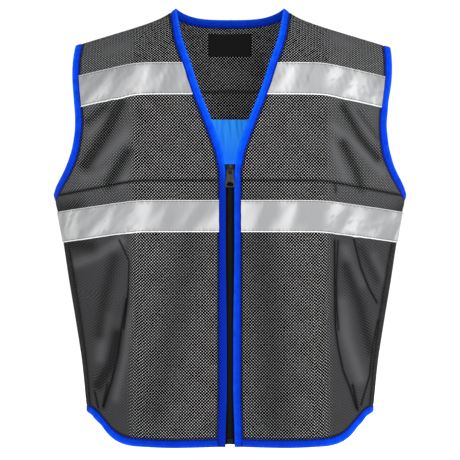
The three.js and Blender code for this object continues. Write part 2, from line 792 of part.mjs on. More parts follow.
function wedgeOutline() {
  const half = sliderTopHalf * sliderShares.wedgeHalf;
  const top = -sliderDrop - wedgeInset;
  const outline = new THREE.Shape();
  outline.moveTo(-half, top);
  outline.lineTo(0, top - sliderHeight * sliderShares.wedge);
  outline.lineTo(half, top);
  return outline;
}

// The bridge's side view, drawn in distance out from the slider's face and height from the pivot
function bridgeSolid() {
  const sunk = sliderPlate / 2;
  const top = pivotBelowSlider + bridgeNose;
  const outline = new THREE.Shape();
  outline.moveTo(-sunk, -bridgeOuter);
  outline.lineTo(pivotOut, -bridgeOuter);
  outline.absarc(pivotOut, 0, bridgeOuter, -Math.PI / 2, Math.PI / 2, false);
  outline.lineTo(noseFlat + noseBevel, top - noseBevel);
  outline.lineTo(noseFlat, top);
  outline.lineTo(-sunk, top);
  outline.lineTo(-sunk, bridgeInner);
  outline.lineTo(pivotOut, bridgeInner);
  outline.absarc(pivotOut, 0, bridgeInner, Math.PI / 2, -Math.PI / 2, true);
  outline.lineTo(-sunk, -bridgeInner);
  const solid = new THREE.ExtrudeGeometry(outline, {
    depth: bridgeWidth,
    bevelEnabled: false,
    curveSegments: 10,
  });
  const out = new THREE.Vector3(0, -1, 0);
  const up = new THREE.Vector3(0, 0, 1);
  const aside = new THREE.Vector3(-1, 0, 0);
  solid.applyMatrix4(new THREE.Matrix4().makeBasis(out, up, aside));
  solid.translate(bridgeWidth / 2, -sliderFace, pivotHeight);
  return solid;
}

const sliderWedge = frontPlate(wedgeOutline(), sliderBehind + sliderPlate / 2, sliderInside - sliderBehind);
addPiece(
  'zip_slider',
  joined([
    frontPlate(sliderOutline(), sliderInside, sliderPlate),
    frontPlate(sliderOutline(), sliderBehind, sliderPlate),
    sliderWedge,
    bridgeSolid(),
  ]),
  'zipMetal',
);

// Puller: a tapered plate that hangs from its top bar, with a hole for the bridge and an eye
function pullerOutline() {
  const top = pullerBar / 2;
  const end = top - pullerLength;
  const waist = top - pullerLength * pullerShares.waist;
  const wide = top - pullerLength * pullerShares.wide;
  const middleHalf = (pullerTopHalf + pullerEndHalf) / 2;
  const middle = (waist + wide) / 2;
  const endHalf = pullerEndHalf * pullerShares.end;
  const outline = new THREE.Shape();
  outline.moveTo(-pullerTopHalf, top);
  outline.quadraticCurveTo(-pullerTopHalf, waist, -middleHalf, middle);
  outline.lineTo(-pullerEndHalf, wide);
  outline.quadraticCurveTo(-pullerEndHalf, end, -endHalf, end);
  outline.lineTo(endHalf, end);
  outline.quadraticCurveTo(pullerEndHalf, end, pullerEndHalf, wide);
  outline.lineTo(middleHalf, middle);
  outline.quadraticCurveTo(pullerTopHalf, waist, pullerTopHalf, top);
  const holeHalf = bridgeWidth / 2 + runningGap;
  const holeTop = -pullerBar / 2;
  const holeEnd = holeTop - pullerHole;
  const hole = new THREE.Path();
  hole.moveTo(-holeHalf, holeTop);
  hole.lineTo(holeHalf, holeTop);
  hole.lineTo(holeHalf, holeEnd);
  hole.lineTo(-holeHalf, holeEnd);
  const eyeEnd = end + pullerRim;
  const eyeTop = eyeEnd + pullerEye;
  const eyeSide = eyeEnd + pullerEye * pullerShares.eyeSide;
  const eyeFoot = pullerEyeHalf * pullerShares.eyeFoot;
  const eyeCrown = pullerEyeHalf * pullerShares.eyeCrown;
  const eye = new THREE.Path();
  eye.moveTo(-eyeFoot, eyeEnd);
  eye.lineTo(-pullerEyeHalf, eyeSide);
  eye.quadraticCurveTo(-eyeCrown, eyeTop, 0, eyeTop);
  eye.quadraticCurveTo(eyeCrown, eyeTop, pullerEyeHalf, eyeSide);
  eye.lineTo(eyeFoot, eyeEnd);
  outline.holes.push(hole, eye);
  return outline;
}

const puller = addPiece('zip_puller', frontPlate(pullerOutline(), -pullerWall / 2, pullerWall), 'zipMetal');
puller.position.set(0, -sliderFace - pivotOut, pivotHeight);

// Retainer box at the foot of the teeth
const zipEnd = surfacePoint('front', 0, hemLine);
const boxOutline = new THREE.Shape();
boxOutline.moveTo(-boxWidth / 2, -seamGap);
boxOutline.lineTo(-boxWidth / 2, -boxHeight + boxCorner);
boxOutline.lineTo(-boxWidth / 2 + boxCorner, -boxHeight);
boxOutline.lineTo(boxWidth / 2 - boxCorner, -boxHeight);
boxOutline.lineTo(boxWidth / 2, -boxHeight + boxCorner);
boxOutline.lineTo(boxWidth / 2, -seamGap);
const box = addPiece('zip_box', frontPlate(boxOutline, zipMiddle - boxWall / 2, boxWall), 'zipTeeth');
box.position.set(0, zipEnd.y, zipEnd.z);

export default vest;
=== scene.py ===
# A zip-front mesh work vest, worn-shaped and empty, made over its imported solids.
# The shape functions work in millimetres; metres come in only where a mesh is filled.
import math
import bmesh
import bpy
import numpy as np
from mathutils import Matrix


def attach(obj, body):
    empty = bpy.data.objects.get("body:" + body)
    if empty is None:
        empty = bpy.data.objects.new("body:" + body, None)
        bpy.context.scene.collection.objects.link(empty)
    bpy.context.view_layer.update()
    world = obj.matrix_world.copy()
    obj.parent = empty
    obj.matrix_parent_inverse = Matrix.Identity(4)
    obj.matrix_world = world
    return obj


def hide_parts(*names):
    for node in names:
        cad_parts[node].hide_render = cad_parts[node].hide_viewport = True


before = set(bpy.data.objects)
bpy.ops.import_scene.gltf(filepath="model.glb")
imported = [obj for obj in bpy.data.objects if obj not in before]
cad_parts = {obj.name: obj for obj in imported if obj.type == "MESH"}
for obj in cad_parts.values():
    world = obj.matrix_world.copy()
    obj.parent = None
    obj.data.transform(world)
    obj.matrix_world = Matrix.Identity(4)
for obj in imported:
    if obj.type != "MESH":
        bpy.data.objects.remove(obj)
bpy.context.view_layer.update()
print("frame loaded:", len(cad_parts), "nodes")

# Camera: level, straight on, far enough back that both shoulders show as the photograph has them
camera = {"distance": 5.0, "height": -0.355, "viewWidth": 0.736, "sensor": 36.0}
cameraData = bpy.data.cameras.new("Camera")
cameraData.sensor_width = camera["sensor"]
cameraData.lens = camera["sensor"] * camera["distance"] / camera["viewWidth"]
cameraData.clip_end = 50
cameraObject = bpy.data.objects.new("Camera", cameraData)
cameraObject.location = (0, -camera["distance"], camera["height"])
cameraObject.rotation_euler = (math.pi / 2, 0, 0)
bpy.context.collection.objects.link(cameraObject)
bpy.context.scene.camera = cameraObject
print("camera set")

# The body that the vest takes: drops are measured down from the neck points
body = {
    "shoulderDrop": 8.5, "backNeckDrop": 26, "chestTapeDrop": 92, "backTapeDrop": 80,
    "frontNeckDrop": 264, "frontSeamDrop": 277, "underarmDrop": 287.5, "underarmSideDrop": 311,
    "waistTapeDrop": 308, "hemDrop": 685, "sideHemDrop": 632, "tapeWidth": 50,
    "neckHalf": 95.5, "shoulderHalf": 234.6, "armholeNarrowHalf": 232.7, "underarmHalf": 278,
    "hemHalf": 228.8, "kneeHalf": 148, "leftShoulderReach": 9.5,
    "frontDepth": 108, "backDepth": 100, "shoulderRound": 90, "sectionPower": 2.4,
    "chestSlope": 0.217, "seamSlope": 0.185, "waistSlope": 0.143, "kneeSoftness": 12,
    "shoulderSlope": 0.3, "neckCurveDrop": 7.4, "neckCurveReach": 17.7, "backNeckPower": 3.2,
    "sideTurn": 71, "frontEdgeHalf": 17.4, "zipFlare": 2.2, "flareStart": 0.88,
    "seamApart": 0.02, "meshHalfWall": 1.0, "gap": 0.3,
}
# Rows number the level lines down the vest, from 0 at the top edge to the hem
rowOf = {"chestTop": 1, "chestFoot": 2, "neckFoot": 3, "seam": 4, "underarm": 5,
         "waistTop": 6, "waistFoot": 7, "hem": 8}

# Outline tables, one list a column, as shares of the sizes above
sideOutline = {
    "level": [-1, -0.52, -0.3, -0.14, 0, 0.06, 0.2, 0.39, 0.6, 0.79, 1],
    "width": [1.16, 1.22, 1.23, 1.16, 1, 0.912, 0.75, 0.563, 0.335, 0.144, 0],
}
neckOutline = {
    "down": [0, 0.176, 0.34, 0.509, 0.687, 0.87, 0.94, 0.965, 1],
    "open": [1, 0.9, 0.722, 0.54, 0.31, 0.09, 0.042, 0.022, 0],
}
armholeOutline = {
    "down": [0, 0.11, 0.22, 0.38, 0.49, 0.583, 0.712, 0.825, 0.923, 1],
    "out": [0.04, 0.113, 0.119, 0.044, 0, 0.033, 0.17, 0.437, 0.76, 1],
}
hemOutline = {
    "across": [0, 0.38, 0.58, 0.705, 0.79, 0.87, 0.93, 1],
    "rise": [0.05, 0, 0.02, 0.07, 0.24, 0.6, 0.86, 1],
}
depthOutline = {
    "down": [0, 0.134, 0.207, 0.365, 0.486, 0.657, 1],
    "front": [0.667, 0.852, 0.926, 1, 0.995, 0.935, 0.9],
    "back": [0.66, 0.9, 0.98, 1, 0.96, 0.9, 0.92],
}
sideSeamOutline = {"level": [0, 0.08, 0.2, 1], "forward": [0, 0.35, 1, 1]}

# Folds pressed into the cloth: face, then the two ends as (across, drop), reach and depth
softFolds = [
    (-1, (-158.5, 373.3), (-166.8, 479.5), 15, 6),
    (-1, (-166.8, 479.5), (-197.4, 616.5), 15, 8),
    (-1, (164, 369.9), (166.8, 479.5), 15, 6),
    (-1, (166.8, 479.5), (194.6, 616.5), 15, 7),
    (-1, (186.3, 369.9), (230.7, 459), 14, 5),
    (-1, (-166.8, 164.4), (-216.8, 253.5), 17, 8),
    (-1, (-158.5, 226.1), (-189, 280.9), 15, 6),
    (-1, (175.1, 171.3), (222.4, 246.6), 17, 8),
    (1, (-139, 376.8), (-166.8, 630.2), 18, 7),
    (1, (139, 376.8), (166.8, 630.2), 18, 7),
    (1, (-152.9, 178.1), (-200.2, 260.3), 17, 7),
    (1, (152.9, 178.1), (200.2, 260.3), 17, 7),
]
# Sharp creases, which the solids leave out: places along each as (across, drop), reach and depth, and
# how far the cloth bulges beside it, on its right if bulge is above nought as the crease runs down
creases = [
    {"face": -1, "along": [(-174, 371), (-158.5, 404), (-160.4, 459), (-163.4, 485), (-166.4, 511)],
     "reach": 1.9, "depth": 1.6, "bulge": 0.4},
    {"face": -1, "along": [(-162.4, 463), (-171.4, 513), (-176.4, 553), (-186.4, 593), (-199.3, 634)],
     "reach": 3.0, "depth": 3.2, "bulge": 0.7},
    {"face": -1, "along": [(-214.3, 611), (-208.4, 636)], "reach": 2.4, "depth": 2.0, "bulge": -0.5},
    {"face": -1, "along": [(-193.3, 598), (-201.3, 634)], "reach": 2.4, "depth": 2.0, "bulge": 0.4},
    {"face": -1, "along": [(164.5, 372), (164.2, 433), (165.7, 508), (170.1, 541), (178, 577), (188.9, 604),
                           (199.1, 637)], "reach": 2.5, "depth": 2.8, "bulge": -0.6},
    {"face": -1, "along": [(170.1, 372), (167.5, 438), (168.6, 479), (170.9, 512)],
     "reach": 1.8, "depth": 1.4, "bulge": 0.4},
    {"face": -1, "along": [(195.1, 370), (206.2, 415), (219.4, 447), (232.5, 470)],
     "reach": 2.5, "depth": 2.6, "bulge": 0.6},
    {"face": -1, "along": [(234, 498), (225, 540), (221, 585), (207, 632)],
     "reach": 2.2, "depth": 1.8, "bulge": 0.5},
    {"face": -1, "along": [(193.6, 600), (202, 639)], "reach": 3.0, "depth": 2.6, "bulge": -0.5},
    {"face": -1, "along": [(165, 283), (166, 296)], "reach": 2.2, "depth": 1.4, "bulge": 0.5},
    {"face": 1, "along": [(-150, 370), (-154, 480), (-166, 610)], "reach": 4, "depth": 2.4, "bulge": 0.6},
    {"face": 1, "along": [(150, 370), (152, 490), (164, 610)], "reach": 4, "depth": 2.4, "bulge": -0.6},
]
# Broad valleys and ridges: places along each, reach, and rise above the cloth round it, below nought
# for a valley. Down in a valley the knit is painted open and dark with painted shade, and on a ridge it is
# painted closed and greyer with a painted sheen.
reliefs = [
    {"face": -1, "reach": 7, "rise": -1.8, "along": [(-195.8, 160), (-223.8, 183)]},
    {"face": -1, "reach": 10, "rise": -2.6, "along": [(-172.3, 155), (-195.8, 202), (-228, 252)]},
    {"face": -1, "reach": 9, "rise": -2.2, "along": [(-161.7, 232), (-191.6, 282)]},
    {"face": -1, "reach": 10, "rise": 2.4, "along": [(-152, 192), (-176, 214), (-210.9, 245)]},
    {"face": -1, "reach": 6, "rise": 1.6, "along": [(-187, 170), (-222, 204)]},
    {"face": -1, "reach": 8, "rise": 2.0, "along": [(-150, 240), (-158, 262), (-171.7, 282)]},
    {"face": -1, "reach": 8, "rise": 1.6, "along": [(-196, 262), (-230, 272)]},
    {"face": -1, "reach": 8, "rise": 1.4, "along": [(-150, 60), (-196, 72)]},
    {"face": -1, "reach": 12, "rise": -1.7, "along": [(-258, 376), (-220, 380)]},
    {"face": -1, "reach": 13, "rise": -1.6, "along": [(-276, 322), (-240, 318)]},
    {"face": -1, "reach": 11, "rise": -1.6, "along": [(278, 318), (262, 330)]},
    {"face": -1, "reach": 8, "rise": 2.6, "along": [(-172, 372), (-209.3, 394), (-244, 407)]},
    {"face": -1, "reach": 11, "rise": -1.6, "along": [(-182, 400), (-198.4, 464), (-206.2, 519)]},
    {"face": -1, "reach": 9, "rise": -2.6, "along": [(-178, 520), (-187, 565), (-208, 600)]},
    {"face": -1, "reach": 9, "rise": 1.8, "along": [(-196, 492), (-206, 556)]},
    {"face": -1, "reach": 7, "rise": 1.6, "along": [(-157, 480), (-167, 558), (-180, 620)]},
    {"face": -1, "reach": 7, "rise": -2.2, "along": [(177.3, 160), (206.2, 210), (232.5, 241)]},
    {"face": -1, "reach": 8, "rise": -2.2, "along": [(177.3, 219), (197.6, 260), (206.2, 288)]},
    {"face": -1, "reach": 4, "rise": -1.2, "along": [(203, 168), (233, 210)]},
    {"face": -1, "reach": 7, "rise": 2.2, "along": [(160, 190), (197.6, 219), (240, 264)]},
    {"face": -1, "reach": 7, "rise": 1.8, "along": [(158, 216), (181, 272)]},
    {"face": -1, "reach": 5, "rise": 1.4, "along": [(190, 166), (224, 214)]},
    {"face": -1, "reach": 8, "rise": 1.4, "along": [(150, 40), (190, 62)]},
    {"face": -1, "reach": 10, "rise": -1.8, "along": [(182, 412), (206.2, 478), (212.2, 508), (223.8, 548)]},
    {"face": -1, "reach": 8, "rise": -1.4, "along": [(206, 382), (232.5, 434)]},
    {"face": -1, "reach": 10, "rise": 2.0, "along": [(176, 470), (184, 526), (206, 590)]},
    {"face": -1, "reach": 8, "rise": 1.6, "along": [(181, 384), (190, 408), (206, 440)]},
    {"face": -1, "reach": 8, "rise": 1.4, "along": [(226, 396), (240, 430)]},
    {"face": 1, "reach": 24, "rise": -1.2, "along": [(-40, 390), (-46, 470), (-60, 600)]},
    {"face": 1, "reach": 26, "rise": -1.2, "along": [(64, 390), (70, 500), (60, 620)]},
    {"face": 1, "reach": 10, "rise": -1.8, "along": [(-172, 160), (-196, 206), (-222, 250)]},
    {"face": 1, "reach": 9, "rise": -1.8, "along": [(174, 158), (200, 208), (226, 248)]},
    {"face": 1, "reach": 9, "rise": 1.6, "along": [(-158, 200), (-206, 258)]},
    {"face": 1, "reach": 9, "rise": 1.6, "along": [(160, 204), (204, 262)]},
    {"face": -1, "reach": 26, "rise": -1.1, "along": [(-52, 325), (-90, 520), (-120, 640)]},
    {"face": -1, "reach": 34, "rise": -1.4, "along": [(42, 325), (60, 500), (70, 650)]},
]


def readCurve(table, by, column, at):
    # Cubic Hermite curve through the rows, its slope at a row taken from the two neighbours
    xs = np.array(table[by], float)
    ys = np.array(table[column], float)
    last = len(xs) - 1
    index = np.arange(len(xs))
    before, after = np.maximum(index - 1, 0), np.minimum(index + 1, last)
    slopes = (ys[after] - ys[before]) / (xs[after] - xs[before])
    at = np.clip(at, xs[0], xs[-1])
    k = np.clip(np.searchsorted(xs, at, side="right") - 1, 0, last - 1)
    span = xs[k + 1] - xs[k]
    t = (at - xs[k]) / span
    ends = (1 + 2 * t) * (1 - t) ** 2 * ys[k] + t * t * (3 - 2 * t) * ys[k + 1]
    return ends + t * (1 - t) ** 2 * span * slopes[k] + t * t * (t - 1) * span * slopes[k + 1]


def ridgeHeight(across):
    # Shoulder line: a steady slope and an exponential rise beside the neck, a parabola inside it
    b = body
    out = np.abs(across) - b["neckHalf"]
    steepness = b["shoulderSlope"] + b["neckCurveDrop"] / b["neckCurveReach"]
    inside = steepness * (b["neckHalf"] ** 2 - across ** 2) / (2 * b["neckHalf"])
    fall = b["neckCurveDrop"] * (1 - np.exp(-np.maximum(out, 0) / b["neckCurveReach"]))
    return -b["shoulderDrop"] + np.where(out < 0, inside, -b["shoulderSlope"] * out - fall)


def backTopHeight(across):
    # Back neck edge: a flat-bottomed power curve between the neck points
    share = np.minimum(np.abs(across) / body["neckHalf"], 1)
    rise = (body["backNeckDrop"] - body["shoulderDrop"]) * share ** body["backNeckPower"]
    return np.where(share < 1, -body["backNeckDrop"] + rise, ridgeHeight(across))


def hemHeight(across):
    rise = readCurve(hemOutline, "across", "rise", np.abs(across) / body["hemHalf"])
    return -body["hemDrop"] + (body["hemDrop"] - body["sideHemDrop"]) * rise


def levelLine(across, drop, slope):
    # Level across the middle, sloping down outside the knee by a softened corner (a hyperbola)
    out = np.abs(across) - body["kneeHalf"]
    return -drop - slope * (out + np.hypot(out, body["kneeSoftness"])) / 2


def rowHeight(face, row, across):
    # Straight mix of the two level lines that a row lies between, squared below the shoulder
    b = body
    row, across = np.broadcast_arrays(np.asarray(row, float), np.asarray(across, float))
    top = ridgeHeight(across) if face == "front" else backTopHeight(across)
    tape = b["chestTapeDrop"] if face == "front" else b["backTapeDrop"]
    lines = np.stack([
        top,
        levelLine(across, tape, b["chestSlope"]),
        levelLine(across, tape + b["tapeWidth"], b["chestSlope"]),
        levelLine(across, b["frontNeckDrop"], b["seamSlope"]),
        levelLine(across, b["frontSeamDrop"], b["seamSlope"]),
        levelLine(across, b["underarmDrop"], b["seamSlope"]),
        levelLine(across, b["waistTapeDrop"], b["waistSlope"]),
        levelLine(across, b["waistTapeDrop"] + b["tapeWidth"], b["waistSlope"]),
        hemHeight(across),
    ])
    k = np.clip(np.floor(row).astype(int), 0, len(lines) - 2)
    t = np.where(k == 0, row * row, row - k)
    low = np.take_along_axis(lines, k[None], 0)[0]
    high = np.take_along_axis(lines, k[None] + 1, 0)[0]
    return low * (1 - t) + high * t


def sideLevel(height):
    drop = body["underarmSideDrop"]
    return np.where(height > -drop, -1 - height / drop, (-height - drop) / (body["sideHemDrop"] - drop))


def halfWidth(face, row):
    share = readCurve(sideOutline, "level", "width", sideLevel(rowHeight(face, row, body["underarmHalf"])))
    return body["hemHalf"] + (body["underarmHalf"] - body["hemHalf"]) * share


def pressedDepth(folds, sign, across, height):
    # Each fold is a groove of Gaussian section round the line between its two ends
    depth = np.zeros(np.broadcast(across, height).shape)
    for face, start, end, reach, deep in folds:
        run = np.array([end[0] - start[0], start[1] - end[1]])
        length = np.hypot(*run)
        x, z = across - start[0], height + start[1]
        along = (x * run[0] + z * run[1]) / length ** 2
        aside = (x * run[1] - z * run[0]) / length
        past = np.maximum(np.maximum(-along, along - 1), 0) * length
        depth += np.where(sign == face, deep * np.exp(-(aside ** 2 + past ** 2) / reach ** 2), 0)
    return depth


def distanceFrom(line, across, height):
    # Distance to the nearest stretch of a broken line, above nought on one side of it
    nearest = np.full(np.broadcast(across, height).shape, 1e9)
    signed = nearest.copy()
    for start, end in zip(line[:-1], line[1:]):
        run = np.array([end[0] - start[0], start[1] - end[1]])
        length = np.hypot(*run)
        x, z = across - start[0], height + start[1]
        along = (x * run[0] + z * run[1]) / length ** 2
        aside = (z * run[0] - x * run[1]) / length
        past = np.maximum(np.maximum(-along, along - 1), 0) * length
        distance = np.hypot(aside, past)
        signed = np.where(distance < nearest, np.copysign(distance, aside), signed)
        nearest = np.minimum(distance, nearest)
    return signed


def reliefOf(sign, across, height, valleys):
    # Sum of Gaussian sections round each line, of the valleys or of the ridges, in millimetres
    total = np.zeros(np.broadcast(across, height).shape)
    for relief in reliefs:
        if (relief["rise"] < 0) == valleys:
            share = distanceFrom(relief["along"], across, height) / relief["reach"]
            total += np.where(sign == relief["face"], abs(relief["rise"]) * np.exp(-share ** 2), 0)
    return total


def creaseDepth(sign, across, height, bulging=True):
    # With d the signed distance in reaches: a groove e^(-d^2), less a wider swelling to one side of it,
    # e^(-((d - 2.5) / 1.8)^2); without the bulge, the nearest groove alone
    total = np.zeros(np.broadcast(across, height).shape)
    for crease in creases:
        share = distanceFrom(crease["along"], across, height) / crease["reach"]
        groove = np.exp(-share ** 2)
        onFace = sign == crease["face"]
        if bulging:
            swelling = np.exp(-((share - 2.5 * np.sign(crease["bulge"])) / 1.8) ** 2)
            total += np.where(onFace, (groove - abs(crease["bulge"]) * swelling) * crease["depth"], 0)
        else:
            total = np.maximum(total, np.where(onFace, groove, 0))
    return total


# Small puckers where stitching gathers the cloth, as sums of sines whose phases are fixed by the seed
pucker = {"seed": 7, "waves": 9, "shortest": 9, "longest": 34, "lean": 0.55, "atSeam": 0.6, "inTape": 0.55,
          "fade": 9, "tapeFade": 6, "seamDip": 0.9, "dipReach": 2.4}
rng = np.random.default_rng(pucker["seed"])
waveLengths = np.geomspace(pucker["shortest"], pucker["longest"], pucker["waves"])
wavePhases = rng.uniform(0, 2 * np.pi, (2, pucker["waves"]))
waveLeans = rng.uniform(-pucker["lean"], pucker["lean"], pucker["waves"])


def ripple(across, height, kind):
    # Mean of sines across the cloth, each leaning its own way, weighted to the longer waves
    total = 0
    weights = np.sqrt(waveLengths / waveLengths[-1])
    for length, phase, lean, weight in zip(waveLengths, wavePhases[kind], waveLeans, weights):
        total = total + weight * np.sin(2 * np.pi * (across + lean * height) / length + phase)
    return total / math.sqrt(pucker["waves"])


def seamPuckers(face, across, height):
    # Ripples that are strongest on each seam line and across the tapes, and fade out beside them
    b, p = body, pucker
    tape = b["chestTapeDrop"] if face == "front" else b["backTapeDrop"]
    depth = 0
    bands = [(tape, b["chestSlope"]), (b["waistTapeDrop"], b["waistSlope"])]
    for kind, (drop, slope) in enumerate(bands):
        top = levelLine(across, drop, slope)
        below = top - height
        inside = np.clip(below / p["tapeFade"], 0, 1) * np.clip((b["tapeWidth"] - below) / p["tapeFade"], 0, 1)
        near = np.exp(-(below / p["fade"]) ** 2) + np.exp(-((below - b["tapeWidth"]) / p["fade"]) ** 2)
        middle = np.sin(np.pi * np.clip(below / b["tapeWidth"], 0, 1))
        depth = depth + ripple(across, height, kind) * (p["atSeam"] * near + p["inTape"] * middle * inside)
    seam = levelLine(across, b["frontSeamDrop"], b["seamSlope"]) - height
    depth = depth + ripple(across, height, 1) * p["atSeam"] * np.exp(-(seam / p["fade"]) ** 2)
    if face == "front":
        depth = depth + p["seamDip"] * np.exp(-(seam / p["dipReach"]) ** 2)
    return depth


def bodySurface(face, turn, row):
    # A superellipse section by turn (degrees from the centre front), closed over the shoulder by a
    # quarter round, with the folds pressed in. Returns across, depth and height in the last axis.
    b = body
    turn, row = np.broadcast_arrays(np.asarray(turn, float), np.asarray(row, float))
    sine, cosine = np.sin(np.radians(turn)), np.cos(np.radians(turn))
    power = b["sectionPower"]
    norm = (np.abs(sine) ** power + np.abs(cosine) ** power) ** (1 / power)
    across = halfWidth(face, row) * sine / norm
    height = rowHeight(face, row, across)
    level = -rowHeight(face, row, 0) / b["hemDrop"]
    forward = cosine > 0
    frontFull = b["frontDepth"] * readCurve(depthOutline, "down", "front", level)
    backFull = b["backDepth"] * readCurve(depthOutline, "down", "back", level)
    below = np.clip((ridgeHeight(across) - height) / b["shoulderRound"], 0, 1)
    closing = np.sqrt(1 - (1 - below) ** 2)
    fade = np.minimum(np.abs(cosine) * 2, 1) * closing
    sign = np.where(forward, -1, 1)
    depthAndShade = (pressedDepth(softFolds, sign, across, height) + creaseDepth(sign, across, height)
               + reliefOf(sign, across, height, True) - reliefOf(sign, across, height, False)
               + seamPuckers(face, across, height))
    depth = np.where(forward, frontFull, backFull) * np.abs(cosine) * closing / norm - depthAndShade * fade
    apart = -b["seamApart"] if face == "front" else b["seamApart"]
    return np.stack([across, sign * depth + apart, height], axis=-1)


def surfaceNormal(face, turn, row, turnStep=0.4, rowStep=0.03):
    # Cross product of the steps round the body and down it
    around = bodySurface(face, turn + turnStep, row) - bodySurface(face, turn - turnStep, row)
    low, high = np.maximum(row - rowStep, 0), np.minimum(row + rowStep, rowOf["hem"])
    normal = np.cross(bodySurface(face, turn, high) - bodySurface(face, turn, low), around)
    return normal / np.linalg.norm(normal, axis=-1, keepdims=True)


def turnAt(face, row, across):
    share = np.minimum(np.abs(across) / halfWidth(face, row), 1)
    rest = (1 - share ** body["sectionPower"]) ** (1 / body["sectionPower"])
    return np.degrees(np.arctan2(share, rest))


def crossing(face, row, outline, passes=20):
    # Where an upright outline crosses a row, by going back and forth between the two
    across = outline(rowHeight(face, row, 0))
    for _ in range(passes):
        across = outline(rowHeight(face, row, across))
    return across


def frontEdgeAt(height):
    b = body
    down = (-height - b["shoulderDrop"]) / (b["frontNeckDrop"] - b["shoulderDrop"])
    t = np.clip((-height / b["hemDrop"] - b["flareStart"]) / (1 - b["flareStart"]), 0, 1)
    opened = readCurve(neckOutline, "down", "open", down)
    flare = b["zipFlare"] * t * t * (3 - 2 * t)
    return b["frontEdgeHalf"] + flare + (b["neckHalf"] - b["frontEdgeHalf"]) * opened


def armholeEdgeAt(height, side):
    # The wearer's left shoulder reaches a little further out, and the reach fades down the armhole
    b = body
    top = -ridgeHeight(np.array(b["shoulderHalf"]))
    down = (-height - top) / (b["underarmSideDrop"] - top)
    out = readCurve(armholeOutline, "down", "out", down)
    reach = b["leftShoulderReach"] * (1 - np.clip(down, 0, 1)) ** 1.5 if side > 0 else 0
    return b["armholeNarrowHalf"] + (b["underarmHalf"] - b["armholeNarrowHalf"]) * out + reach


def outerTurn(face, row, side):
    # Along the armhole down to the underarm, then down the side seam
    arm = turnAt(face, row, crossing(face, row, lambda height: armholeEdgeAt(height, side)))
    arm = arm if face == "front" else 180 - arm
    level = sideLevel(rowHeight(face, row, body["underarmHalf"]))
    seam = 90 - (90 - body["sideTurn"]) * readCurve(sideSeamOutline, "level", "forward", level)
    return np.where(row < rowOf["underarm"], arm, seam)


def spreadTurns(face, rows, start, end, shares, samples=140):
    # Equal shares of each row's own length, read off its summed chord lengths
    t = np.linspace(0, 1, samples)
    turns = start[:, None] + (end - start)[:, None] * t
    chords = np.linalg.norm(np.diff(bodySurface(face, turns, rows[:, None]), axis=1), axis=-1)
    lengths = np.concatenate([np.zeros((len(rows), 1)), np.cumsum(chords, axis=1)], axis=1)
    spread = [np.interp(shares * line[-1], line, turn) for line, turn in zip(lengths, turns)]
    return np.array(spread)


def clothGrid(face, turns, rows):
    # Places, normals and a flat pattern: lengths across from the centre line, and down from the chest
    # tape's foot or the row nearest to it
    rows = np.broadcast_to(rows[:, None], turns.shape)
    points = bodySurface(face, turns, rows)
    normals = surfaceNormal(face, turns, rows)
    chords = np.linalg.norm(np.diff(points[..., :2], axis=1), axis=-1)
    start = np.argmin(np.abs(points[len(points) // 2, :, 0]))
    lengths = np.concatenate([np.zeros((len(points), 1)), np.cumsum(chords, axis=1)], axis=1)
    way = np.sign(points[-1, -1, 0] - points[-1, 0, 0])
    flatX = way * (lengths - lengths[:, start:start + 1]) + points[:, start:start + 1, 0]
    drops = np.linalg.norm(np.diff(points[..., 1:], axis=0), axis=-1)
    runs = np.concatenate([np.zeros((1, points.shape[1])), np.cumsum(drops, axis=0)])
    anchor = np.argmin(np.abs(rows[:, 0] - np.clip(rowOf["chestFoot"], rows[0, 0], rows[-1, 0])))
    flatZ = points[anchor, :, 2] - (runs - runs[anchor])
    return {"points": points, "normals": normals, "flat": np.stack([flatX, flatZ], axis=-1)}


# Millimetres between grid points across and down
fineness = {"across": 1.9, "down": 2.1, "back": 2.8}
# Millimetres of cloth in each span between the level lines, from the shoulder down to the hem
spanLengths = [104, 50, 122, 13, 10.5, 20.5, 50, 327]


def rowsBetween(start, end, step=None):
    # Rows spaced evenly inside each span of the level lines, with both ends kept
    rows = [start]
    for k, length in enumerate(spanLengths):
        low, high = max(start, k), min(end, k + 1)
        if high > low:
            count = max(int(round((high - low) * length / (step or fineness["down"]))), 1)
            rows.extend(low + (high - low) * (np.arange(count) + 1) / count)
    return np.array(rows)


def sharesOf(length, step=None):
    return np.linspace(0, 1, max(int(round(length / (step or fineness["across"]))), 2) + 1)


def newObject(name, vertices, faces, uv=None, weights=None, sharp=40):
    mesh = bpy.data.meshes.new(name)
    mesh.from_pydata((vertices * 0.001).tolist(), [], faces.tolist())
    mesh.update()
    if uv is not None:
        corners = np.empty(len(mesh.loops), int)
        mesh.loops.foreach_get("vertex_index", corners)
        layer = mesh.uv_layers.new(name="flat")
        layer.data.foreach_set("uv", (uv[corners] * 0.001).ravel())
    for label, values in (weights or {}).items():
        mesh.attributes.new(label, "FLOAT", "POINT").data.foreach_set("value", values)
    mesh.polygons.foreach_set("use_smooth", np.ones(len(mesh.polygons), bool))
    mesh.set_sharp_from_angle(angle=math.radians(sharp))
    piece = bpy.data.objects.new(name, mesh)
    bpy.context.collection.objects.link(piece)
    return piece


def gridFaces(rows, columns, offset=0):
    index = offset + np.arange(rows * columns).reshape(rows, columns)
    quads = [index[:-1, :-1], index[1:, :-1], index[1:, 1:], index[:-1, 1:]]
    return np.stack([q.ravel() for q in quads], axis=-1)


